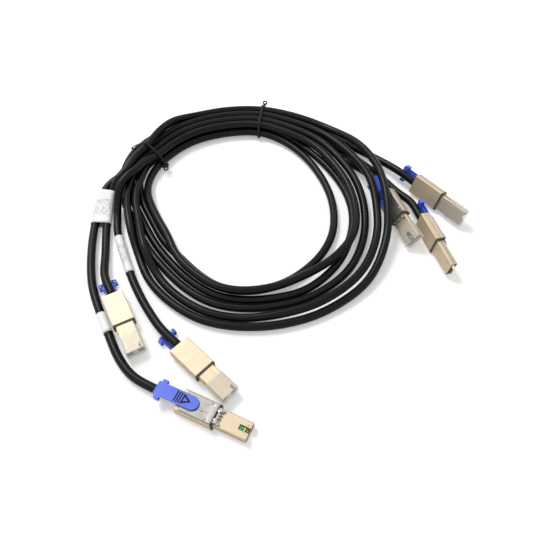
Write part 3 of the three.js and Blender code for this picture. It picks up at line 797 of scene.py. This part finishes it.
@dataclass
class Studio:
    """White sweep, soft lamps and the world. Places are in metres and powers in watts."""

    floor_size: float = 8.0
    floor_drop: float = 0.0002
    lamps: tuple[tuple[str, Point, float, float], ...] = (
        ("key_lamp", (-0.6, 0.8, 1.15), 0.5, 5.5),
        ("fill_lamp", (-0.9, -0.7, 1.1), 1.2, 1.8),
        ("rim_lamp", (0.8, 0.9, 0.9), 0.5, 1.2),
    )
    sun_from: Point = (-0.55, 0.6, 1.2)
    sun_power: float = 1.0
    sun_spread: float = 14.0
    sky: float = 0.44
    paper: float = 0.9
    paper_tint: float = 0.995
    paper_rough: float = 0.85
    paper_specular: float = 0.1
    lift: float = 0.32

    def build(self) -> None:
        """Makes the floor, the lamps and the world."""
        self.build_floor()
        for name, place, size, power in self.lamps:
            self.build_lamp(name, "AREA", place, power).size = size
        sun = self.build_lamp("window_light", "SUN", self.sun_from, self.sun_power)
        sun.angle = math.radians(self.sun_spread)
        world = bpy.data.worlds.new("studio_world")
        world.use_nodes = True
        tree = Tree(world.node_tree)
        level = tree.span(tree.bright_ray(), self.sky, 1.0)
        tree.feed(world.node_tree.nodes["Background"], {"Color": (1, 1, 1, 1), "Strength": level})
        bpy.context.scene.world = world
        bpy.context.scene.view_settings.view_transform = "Standard"

    def build_floor(self) -> None:
        """Makes the white floor, which keeps the object's shadow."""
        half = self.floor_size / 2
        mesh = bpy.data.meshes.new("studio_floor")
        corners = [(x, y, -self.floor_drop) for x, y in box(-half, half, -half, half)]
        mesh.from_pydata(corners, [], [(0, 1, 2, 3)])
        floor = new_object("studio_floor", mesh)
        material = bpy.data.materials.new("white_paper")
        material.use_nodes = True
        tree = Tree(material.node_tree)
        glow = tree.mix(tree.bright_ray(), (0, 0, 0, 1), (self.lift, self.lift, self.lift, 1))
        tree.feed(material.node_tree.nodes["Principled BSDF"], {
            "Base Color": (self.paper, self.paper, self.paper * self.paper_tint, 1),
            "Roughness": self.paper_rough, "Specular IOR Level": self.paper_specular,
            "Emission Color": glow, "Emission Strength": 1.0,
        })
        mesh.materials.append(material)

    @staticmethod
    def build_lamp(name: str, kind: str, place: Point, power: float) -> Light:
        """Makes one lamp that looks at the middle of the object.

        Args:
            name: its name.
            kind: Blender's name of the lamp's type.
            place: where it stands.
            power: its power.

        Returns:
            The lamp's data.
        """
        data = bpy.data.lights.new(name, kind)
        data.energy = power
        lamp = new_object(name, data)
        lamp.location = place
        lamp.rotation_mode = "QUATERNION"
        lamp.rotation_quaternion = (-Vector(place)).to_track_quat("-Z", "Y")
        return data


# The cables


@dataclass
class Cable:
    """One jacketed cable that runs from a left plug, three times round, to a right plug."""

    name: str
    start: str
    finish_at: str
    passes: list[str]
    turns: list[str]
    diameter: float = 9.0
    end_gap: float = 0.3
    straight: float = 27.0
    sides: int = 20
    step: float = 3.5
    blur: int = 6
    line: list[Vector] = field(default_factory=list)

    def leaving(self, plug: str) -> list[Vector]:
        """Lists three points on a plug's axis, from just behind its rear face."""
        pose = PLUG_POSES[plug]
        turn = math.radians(pose.heading)
        back = Vector((-math.cos(turn), -math.sin(turn), 0))
        distances = (self.end_gap, self.straight / 2, self.straight)
        return [Vector(pose.at) + back * d for d in distances]

    def route(self) -> list[Vector]:
        """Lists the route's points in the frame, in metres.

        Returns:
            The points from the left plug to the right plug.
        """
        points = [*self.leaving(self.start), *LEADS_IN[self.start]]
        for i, name in enumerate(self.passes):
            points += [self.placed(s, p) for s, p in zip(TOP_STATIONS, BUNDLE[name])]
            if i < len(self.turns):
                lane = LANES[self.turns[i]]
                points += [self.placed(s, p) for s, p in zip(LOW_STATIONS, lane)]
        points += [*LEADS_OUT[self.finish_at], *reversed(self.leaving(self.finish_at))]
        return [centred(p) for p in points]

    @staticmethod
    def placed(station: tuple[Point, Point], place: Point) -> Vector:
        """Turns a station and a place at it into a point of the drawing."""
        out = Vector((*station[1], 0)).normalized()
        return Vector((*station[0], 0)) + out * place[0] + UP * place[1]

    def build(self) -> None:
        self.line = smooth_line(self.route(), self.step * MM, self.blur)
        shape, coordinates = swept(self.line, self.diameter / 2 * MM, self.sides)
        piece = new_piece(f"{self.name}_jacket", shape, JACKET)
        unwrap(piece, coordinates)
        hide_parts(self.name)


# The plugs


class Repeater:
    """Geometry Nodes trees that set the same small part out along a row."""

    sizes: dict[str, float] = {
        "Pitch": 0.001, "Length": 0.005, "Width": 0.0005, "Height": 0.0001,
    }
    rivet_detail: dict[str, int] = {"Segments": 20, "Rings": 12}

    def __init__(self) -> None:
        """Builds the two trees."""
        self.pads = self.make_tree("contact_pad_row", self.pad)
        self.rivets = self.make_tree("rivet_row", self.rivet)

    def make_tree(self, name: str, part: Callable[..., NodeSocket]) -> NodeTree:
        """Builds a tree: a row of points along y with a part on each.

        Args:
            name: the tree's name.
            part: a method that adds the part's nodes and returns its geometry socket.

        Returns:
            The tree with inputs Count, Pitch, Length, Width, Height and Finish.
        """
        group = bpy.data.node_groups.new(name, "GeometryNodeTree")
        face = group.interface
        face.new_socket("Geometry", in_out="INPUT", socket_type="NodeSocketGeometry")
        face.new_socket("Count", in_out="INPUT", socket_type="NodeSocketInt")
        for label, value in self.sizes.items():
            socket = face.new_socket(label, in_out="INPUT", socket_type="NodeSocketFloat")
            socket.default_value = value
        face.new_socket("Finish", in_out="INPUT", socket_type="NodeSocketMaterial")
        face.new_socket("Geometry", in_out="OUTPUT", socket_type="NodeSocketGeometry")
        tree = Tree(group)
        source = tree.add("NodeGroupInput").outputs
        line = tree.add("GeometryNodeMeshLine")
        tree.feed(line, {"Count": source["Count"], "Offset": tree.combined(Y=source["Pitch"])})
        place = tree.add("GeometryNodeInstanceOnPoints")
        tree.feed(place, {"Points": line.outputs["Mesh"], "Instance": part(tree, source)})
        real = tree.add("GeometryNodeRealizeInstances", {"Geometry": place.outputs["Instances"]})
        finish = tree.add("GeometryNodeSetMaterial")
        tree.feed(finish, {"Geometry": real.outputs["Geometry"], "Material": source["Finish"]})
        tree.add("NodeGroupOutput", {"Geometry": finish.outputs["Geometry"]})
        return group

    @staticmethod
    def pad(tree: Tree, source: bpy_prop_collection) -> NodeSocket:
        """Adds a flat contact pad and returns its geometry."""
        size = tree.combined(X=source["Length"], Y=source["Width"], Z=source["Height"])
        return tree.add("GeometryNodeMeshCube", {"Size": size}).outputs["Mesh"]

    def rivet(self, tree: Tree, source: bpy_prop_collection) -> NodeSocket:
        """Adds a low domed rivet head and returns its geometry."""
        inputs = {"Radius": source["Width"], **self.rivet_detail}
        ball = tree.add("GeometryNodeMeshUVSphere", inputs)
        flat = tree.math("DIVIDE", source["Height"], source["Width"])
        squash = tree.add("GeometryNodeTransform", {"Geometry": ball.outputs["Mesh"]})
        tree.feed(squash, {"Scale": tree.combined(X=1.0, Y=1.0, Z=flat)})
        return squash.outputs["Geometry"]

    @staticmethod
    def baked(tree: NodeTree, matrix: Matrix, values: dict[str, object]) -> Shape:
        """Runs a tree and turns its result into plain vertices and faces.

        Args:
            tree: the tree to run.
            matrix: places the result in the frame.
            values: the inputs' values by name.

        Returns:
            Vertices and faces in the frame.
        """
        holder = new_object(tree.name, bpy.data.meshes.new(tree.name))
        modifier = holder.modifiers.new("row", "NODES")
        modifier.node_group = tree
        for item in tree.interface.items_tree:
            if item.item_type == "SOCKET" and item.in_out == "INPUT" and item.name in values:
                modifier[item.identifier] = values[item.name]
        graph = bpy.context.evaluated_depsgraph_get()
        mesh = bpy.data.meshes.new_from_object(holder.evaluated_get(graph))
        mesh.transform(matrix)
        vertices = [v.co.copy() for v in mesh.vertices]
        faces = [tuple(p.vertices) for p in mesh.polygons]
        bpy.data.objects.remove(holder)
        bpy.data.meshes.remove(mesh)
        return vertices, faces


@dataclass
class Plug:
    """One metal plug with its latch, strap, card and cap.

    Sizes are in millimetres: x runs from the rear face to the nose, y across and z up
    from the lower face. Outlines are in x and z, and places are spans of y.
    """

    name: str
    repeater: Repeater
    body_height: float = 10.4
    card_top: float = 5.7
    card_thick: float = 1.0
    card_end: float = 69.2
    pad_count: int = 13
    pad_pitch: float = 0.8
    pad_inset: float = 0.3
    pad_size: tuple[float, float, float] = (3.2, 0.5, 0.05)
    strap_top: float = 13.8
    ink_thick: float = 0.05
    arrow_bars: tuple[float, ...] = (-3.6, -1.3, 1.0)
    bar_width: float = 1.35
    arrow_half: float = 5.3
    arrow_x: Pair = (3.4, 12.4)
    arrow_hole: tuple[float, float, float] = (4.9, 9.4, 2.15)
    cover_half: float = 10.3
    cover_wall: float = 0.4
    cover_gap: float = 0.02
    cover_line: Outline = ((4.6, 11.7), (5.8, 11.95), (28.0, 11.95), (33.0, 12.4), (37.0, 12.7))
    cover_corner: Outline = ((0.0, 0.7), (0.2, 0.2), (0.7, 0.0))
    rivet_rows: tuple[Point, ...] = ((30.5, -8.0, 12.15, 2, 16.0), (24.0, -2.2, 11.95, 1, 1.0))
    rivet_radius: float = 1.45
    rivet_high: float = 0.8
    comb_bar: Point = (39.0, 40.3, 11.2, 12.1)
    comb_half: float = 7.7
    hook: Outline = (
        (40.2, 10.3), (42.4, 9.6), (43.3, 9.6), (43.3, 10.6), (41.4, 12.0), (40.2, 12.0),
    )
    hook_places: Outline = ((-6.7, -4.1), (-2.35, -0.85), (0.85, 2.35), (4.1, 6.7))
    foot: Outline = ((35.6, 11.2), (39.1, 11.2), (39.1, 11.75), (35.6, 11.35))
    foot_places: Outline = ((-5.2, -3.6), (3.6, 5.2))
    nose_half: float = 9.1
    nose_roof: float = 9.1
    rail_x: Pair = (39.2, 68.8)
    rail_levels: tuple[float, ...] = (3.2, 6.2)
    rail_wide: float = 0.9
    rail_slant: float = 0.8
    rail_depths: Pair = (-0.1, 0.3)
    parting: Point = (39.2, 71.1, 4.9, 5.5)
    parting_depths: Pair = (-0.05, 0.04)
    lip: Point = (67.55, 71.4, 8.2, 9.1)
    lip_places: Outline = ((-4.45, -2.5), (2.5, 4.45))
    slab_sink: float = 0.02
    # Flat slabs in the notch's slot; slot_shade is a dark sheet of painted shade for the slot's
    # depth.
    slabs: tuple[tuple, ...] = (
        ("slot_shade", SHADE, "collar_rubber", (60.8, 67.55), (-2.5, 2.5), 0.03),
        ("slot_card", CARD, "card_green", (61.7, 65.7), (-2.2, 1.4), 0.05),
        ("slot_pads", GOLD, "card_green", (65.9, 67.4), (-2.2, 1.4), 0.05),
    )
    lobe_at: Pair = (-19.0, 7.9)
    lobe_rows: Outline = ((1.9, 7.7), (1.9, 9.6), (0.75, 9.6), (0.75, 7.7))
    lobe_long: float = 1.25
    lobe_sides: int = 20
    mark_half: float = 0.05
    low_face: float = 0.1
    low_marks: tuple[Point, ...] = ((66.0, 71.0, -6.6, -5.9), (66.6, 70.4, -5.4, -4.8))
    high_face: float = 10.3
    high_marks: tuple[Point, ...] = ((60.5, 65.5, -1.2, 1.4),)

    @property
    def pose(self) -> PlugPose:
        """The plug's place."""
        return PLUG_POSES[self.name]

    def matrix(self) -> Matrix:
        """Turns the plug's own millimetres into the frame's metres.

        Returns:
            The matrix.
        """
        heading, roll = math.radians(self.pose.heading), math.radians(self.pose.roll)
        ahead = Vector((math.cos(heading), math.sin(heading), 0))
        left = UP.cross(ahead)
        side = left * math.cos(roll) + UP * math.sin(roll)
        face = UP * math.cos(roll) - left * math.sin(roll)
        turn = Matrix((ahead, side, face)).transposed().to_4x4()
        place = Matrix.Translation(centred(self.pose.at))
        rise = Matrix.Translation(Vector((0, 0, -self.body_height / 2)))
        return place @ turn @ Matrix.Scale(MM, 4) @ rise

    def placed(self, points: Iterable[Point]) -> list[Vector]:
        """Turns points of the plug, in millimetres, into the frame."""
        matrix = self.matrix()
        return [matrix @ Vector(p) for p in points]

    def node(self, part: str) -> str:
        """Gives the name of one of the plug's nodes."""
        return f"{self.name}_{part}"

    def build(self) -> None:
        """Dresses the plug's nodes and adds its fine pieces."""
        for part, finish, rounding in (
            ("shell_lower", CAST_METAL, 0.25),
            ("shell_upper", CAST_METAL, 0.25),
            ("collar", GASKET, 0.2),
            ("contact_card", CARD, 0.0),
            ("latch", STEEL, 0.12),
            ("pull_tab", BLUE_STRAP, 0.2),
        ):
            dress_node(self.node(part), finish, rounding)
        if self.pose.cap:
            dress_node(self.node("dust_cap"), CLEAR_CAP, 0.3)
        self.add_pads()
        self.add_arrow()
        self.add_cover()
        self.add_rivets()
        self.add_comb()
        self.add_rails()
        self.add_window()
        self.add_lobes()
        if self.pose.cap:
            self.add_cap_marks()
        log.info("%s dressed", self.name)

    def add_rows(
        self, part: str, tree: NodeTree, rows: Iterable[Point],
        sizes: dict[str, float], finish: Finish, smooth: bool = True,
    ) -> None:
        """Adds rows of one small part as a single piece.

        Args:
            part: the last part of the piece's name.
            tree: the small part's Geometry Nodes tree.
            rows: (x, y, z, count, pitch) of each row.
            sizes: the small part's sizes by the tree's input names.
            finish: its finish.
            smooth: whether it is shaded smooth.
        """
        vertices, faces = [], []
        for *corner, count, pitch in rows:
            place = self.matrix() @ Matrix.Translation(corner) @ Matrix.Scale(1 / MM, 4)
            values = {label: size * MM for label, size in {**sizes, "Pitch": pitch}.items()}
            values |= {"Count": count, "Finish": finish.material()}
            more, shapes = self.repeater.baked(tree, place, values)
            start = len(vertices)
            vertices += more
            faces += [tuple(i + start for i in shape) for shape in shapes]
        new_piece(self.node(part), (vertices, faces), finish, smooth=smooth)

    def add_blocks(
        self, part: str, blocks: Iterable[tuple[Outline, float, float]], finish: Finish,
        edge: float, body: str = "root",
    ) -> None:
        """Adds a piece made of prisms that lie across the plug.

        Args:
            part: the last part of the piece's name.
            blocks: (outline in x and z, y from, y to) of each prism.
            finish: its finish.
            edge: the rounding in millimetres.
            body: the body that it rides on.
        """
        pairs = [
            [self.placed([(x, y, z) for x, z in outline]) for y in ends]
            for outline, *ends in blocks
        ]
        piece = new_piece(self.node(part), prisms(pairs), finish, body)
        outward(piece)
        rounded(piece, edge)

    def add_pads(self) -> None:
        """Adds the gold contact pads on both faces of the card."""
        long, wide, thick = self.pad_size
        x = self.card_end - long / 2 - self.pad_inset
        y = -(self.pad_count - 1) / 2 * self.pad_pitch
        levels = (self.card_top + thick / 2, self.card_top - self.card_thick - thick / 2)
        rows = [(x, y, z, self.pad_count, self.pad_pitch) for z in levels]
        sizes = {"Length": long, "Width": wide, "Height": thick}
        self.add_rows("contact_pads", self.repeater.pads, rows, sizes, GOLD, False)

    def add_arrow(self) -> None:
        """Adds the plain pull arrow printed on the strap: bars and a hollow triangle."""
        half, (back, tip) = self.arrow_half, self.arrow_x
        hole_back, hole_tip, hole_half = self.arrow_hole
        shapes = [box(x, x + self.bar_width, -half, half) for x in self.arrow_bars]
        outer = [(back, -half), (tip, 0.0), (back, half)]
        inner = [(hole_back, -hole_half), (hole_tip, 0.0), (hole_back, hole_half)]
        shapes += [[outer[i], outer[j], inner[j], inner[i]] for i, j in ((0, 1), (1, 2), (2, 0))]
        levels = (self.strap_top, self.strap_top + self.ink_thick)
        pairs = [[self.placed([(x, y, z) for x, y in shape]) for z in levels] for shape in shapes]
        tab = self.node("pull_tab")
        new_piece(self.node("strap_arrow"), prisms(pairs), INK, tab, smooth=False)

    def add_cover(self) -> None:
        """Adds the pressed steel cover over the strap's way in."""
        half, wall, base = self.cover_half, self.cover_wall, self.body_height + self.cover_gap
        vertices: list[Vector] = []
        for x, z in self.cover_line:
            outer = [(-half, base), *((-half + a, z - b) for a, b in self.cover_corner)]
            outer += [(-y, h) for y, h in reversed(outer)]
            inner = [(y - math.copysign(wall, y), h - (wall if h > base else 0)) for y, h in outer]
            ring = outer + inner[::-1]
            vertices += self.placed([(x, y, h) for y, h in ring])
        n, last = len(ring), len(vertices) - len(ring)
        faces = lofted(len(self.cover_line), n)
        for k in range(n // 2 - 1):  # strips that close the two ends
            faces.append((k, n - 1 - k, n - 2 - k, k + 1))
            faces.append((last + k, last + k + 1, last + n - 2 - k, last + n - 1 - k))
        piece = new_piece(self.node("cover_plate"), (vertices, faces), COVER)
        outward(piece)
        even_shading(piece)

    def add_rivets(self) -> None:
        """Adds the three rivet heads on the cover."""
        sizes = {"Width": self.rivet_radius, "Height": self.rivet_high}
        tree = self.repeater.rivets
        self.add_rows("cover_rivets", tree, self.rivet_rows, sizes, STEEL)

    def add_comb(self) -> None:
        """Adds the latch's hooked front bar, which lifts with the latch."""
        blocks = [(box(*self.comb_bar), -self.comb_half, self.comb_half)]
        blocks += [(self.hook, *place) for place in self.hook_places]
        blocks += [(self.foot, *place) for place in self.foot_places]
        self.add_blocks("latch_comb", blocks, STEEL, 0.15, self.node("latch"))

    def on_flanks(self, outlines: list[Outline], depths: Pair) -> list[tuple]:
        """Sets prisms out on both flanks of the nose, between depths outwards from it."""
        return [
            (outline, *sorted(side * (self.nose_half + depth) for depth in depths))
            for side in (-1, 1)
            for outline in outlines
        ]

    def add_rails(self) -> None:
        """Adds the two guide rails and the dark parting line on each side of the nose."""
        x0, x1 = self.rail_x
        wide, tip = self.rail_wide, x1 - self.rail_slant
        outlines = [[(x0, z), (x1, z), (tip, z + wide), (x0, z + wide)] for z in self.rail_levels]
        rails = self.on_flanks(outlines, self.rail_depths)
        self.add_blocks("nose_rails", rails, CAST_METAL, 0.1)
        lines = self.on_flanks([box(*self.parting)], self.parting_depths)
        self.add_blocks("nose_parting_line", lines, GASKET, 0.01)

    def add_window(self) -> None:
        """Adds the narrow lips beside the notch, and flat slabs for the slot that shows the card: a
        dark sheet of painted shade round the card and its pads.
        """
        lips = [(box(*self.lip), *place) for place in self.lip_places]
        self.add_blocks("notch_lips", lips, CAST_METAL, 0.08)
        for part, finish, slot, along, place, high in self.slabs:
            outline = box(*along, self.nose_roof - self.slab_sink, self.nose_roof + high)
            self.add_blocks(part, [(outline, *place)], finish, 0.005)

    def add_lobes(self) -> None:
        """Adds the rounded curls at the strap's two wings."""
        x, y = self.lobe_at
        turns = [2 * math.pi * k / self.lobe_sides for k in range(self.lobe_sides)]
        vertices, faces = [], []
        for side in (-1, 1):
            faces += lofted(len(self.lobe_rows), self.lobe_sides, True, len(vertices))
            for radius, z in self.lobe_rows:
                long = radius * self.lobe_long
                ring = [(x + math.cos(t) * long, side * y + math.sin(t) * radius, z) for t in turns]
                vertices += self.placed(ring)
        name, tab = self.node("strap_lobes"), self.node("pull_tab")
        piece = new_piece(name, (vertices, faces), BLUE_STRAP, tab)
        outward(piece)
        rounded(piece, 0.3, 40)

    def add_cap_marks(self) -> None:
        """Adds small plain grey marks on the cap's face that shows."""
        upturned = self.pose.roll == 180
        z = self.low_face if upturned else self.high_face
        marks = self.low_marks if upturned else self.high_marks
        span = (z - self.mark_half, z + self.mark_half)
        blocks = [(box(a, b, *span), y0, y1) for a, b, y0, y1 in marks]
        self.add_blocks("cap_marks", blocks, MARK, 0.01)


# Labels and ties


@dataclass
class LabelSleeve:
    """A film label wrapped round one or two neighbouring cables.

    The span is in millimetres along the first cable for a single sleeve, and in
    millimetres of the drawing's y for a double one.
    """

    name: str
    first: Cable
    second: Cable | None
    span: Pair
    finish: Finish
    radius: float = 5.0
    wall: float = 0.35
    sides: int = 28
    reach: float = 400.0
    partner_points: int = 400

    def stations(self) -> list[tuple[Vector, Vector, Vector]]:
        """Lists (centre on the first cable, centre on the second, direction).

        Returns:
            One entry for each station.
        """
        line = self.first.line
        result = []
        run = 0.0
        for i in range(1, len(line) - 1):
            run += (line[i] - line[i - 1]).length / MM
            place = run if self.second is None else line[i].y / MM + MIDDLE.y
            if run > self.reach or not self.span[0] <= place <= self.span[1]:
                continue
            partner = line[i]
            if self.second is not None:
                near = self.second.line[: self.partner_points]
                partner = min(near, key=lambda p: (p - line[i]).length)
            result.append((line[i], partner, (line[i + 1] - line[i - 1]).normalized()))
        return result

    def ring(self, station: tuple[Vector, Vector, Vector], radius: float) -> list[Vector]:
        """Gives the sleeve's outline at a station, at a radius round its cables."""
        one, two, ahead = station
        across = two - one if self.second else ahead.cross(UP)
        across = (across - ahead * across.dot(ahead)).normalized()
        up = across.cross(ahead)
        if up.z < 0:
            up = -up
        ring = []
        for k in range(self.sides):
            turn = 2 * math.pi * (k + 0.5) / self.sides
            centre = two if math.cos(turn) > 0 else one
            ring.append(centre + (across * math.cos(turn) + up * math.sin(turn)) * radius * MM)
        return ring

    def build(self) -> None:
        """Makes the label in place of its node: along its outside, and back along its inside."""
        stations = self.stations()
        last = len(stations) - 1
        rows = [(i, self.radius) for i in range(last + 1)]
        rows += [(i, self.radius - self.wall) for i in range(last, -1, -1)]
        vertices, coordinates = [], []
        for i, radius in rows:
            ring = self.ring(stations[i], radius)
            vertices += ring
            gaps = [(b - a).length for a, b in zip(ring, ring[1:] + ring[:1])]
            coordinates += [(i / last, sum(gaps[:k]) / sum(gaps)) for k in range(self.sides)]
        faces = lofted(len(rows), self.sides, closed=True)
        piece = new_piece(f"{self.name}_film", (vertices, faces), self.finish)
        unwrap(piece, coordinates)
        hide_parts(self.name)
        log.info("%s: %d stations", piece.name, len(stations))


@dataclass
class TwistTie:
    """The twisted neck and open loop at the end of a wire tie."""

    name: str
    root: Point
    heading: float
    neck: float
    half_turns: int = 3
    loop_long: float = 3.1
    loop_wide: float = 2.3
    loop_rise: float = 0.5
    overlap: float = 0.4
    wire: float = 0.9
    wire_offset: float = 0.855
    neck_steps: int = 24
    loop_steps: int = 32
    sides: int = 10

    def build(self) -> None:
        """Makes the neck and the loop."""
        dress_node(self.name, TIE_COAT, 0.1)
        turn = math.radians(self.heading)
        ahead = Vector((math.cos(turn), math.sin(turn), 0))
        side = UP.cross(ahead)
        start = Vector(self.root)
        for strand in (0, 1):
            points = []
            for i in range(self.neck_steps + 1):
                share = i / self.neck_steps
                spin = (share * self.half_turns + strand) * math.pi
                swing = (side * math.cos(spin) + UP * math.sin(spin)) * self.wire_offset
                points.append(centred(start + ahead * self.neck * share + swing))
            self.add_wire(f"strand_{strand + 1}", points)
        centre = start + ahead * (self.neck + self.loop_long - self.overlap)
        ring = []
        for i in range(self.loop_steps):
            t = 2 * math.pi * i / self.loop_steps
            flat = ahead * math.cos(t) * self.loop_long + side * math.sin(t) * self.loop_wide
            ring.append(centred(centre + flat + UP * self.loop_rise * math.sin(t)))
        self.add_wire("loop", ring, closed=True)

    def add_wire(self, part: str, points: list[Vector], closed: bool = False) -> None:
        """Adds one length of coated wire along points."""
        shape, _ = swept(points, self.wire * MM, self.sides, closed)
        new_piece(f"{self.name}_{part}", shape, TIE_COAT)


def main() -> None:
    """Builds the scene in order: camera and cables first, then plugs, ties and labels."""
    logging.basicConfig(level=logging.INFO, format="%(name)s: %(message)s")
    PhotoCamera().build()
    cables = [
        Cable("cable_front", "left_front", "right_middle",
              ["upper_3", "floor_2", "floor_4"], ["fourth", "second"]),
        Cable("cable_outer", "left_outer", "right_outer",
              ["upper_4", "upper_2", "floor_5"], ["outer", "third"]),
        Cable("cable_middle", "left_middle", "right_inner",
              ["upper_1", "floor_1", "floor_3"], ["riding", "inner"]),
    ]
    for cable in cables:
        cable.build()
    repeater = Repeater()
    for name in PLUG_POSES:
        Plug(name, repeater).build()
    TwistTie("tie_left", (-131.8, 157.8, 8.2), -95, neck=2.6).build()
    TwistTie("tie_right", (-14.4, 268.2, 7.4), 84, neck=6.8).build()
    front, outer, middle = cables
    LabelSleeve("label_front", front, None, (107.0, 135.5), PAPER).build()
    LabelSleeve("label_middle", middle, None, (107.0, 162.0), PRINTED).build()
    LabelSleeve("label_pair", outer, front, (62.0, 112.0), PRINTED, radius=5.1).build()
    Studio().build()


if __name__ == "__main__":
    main()
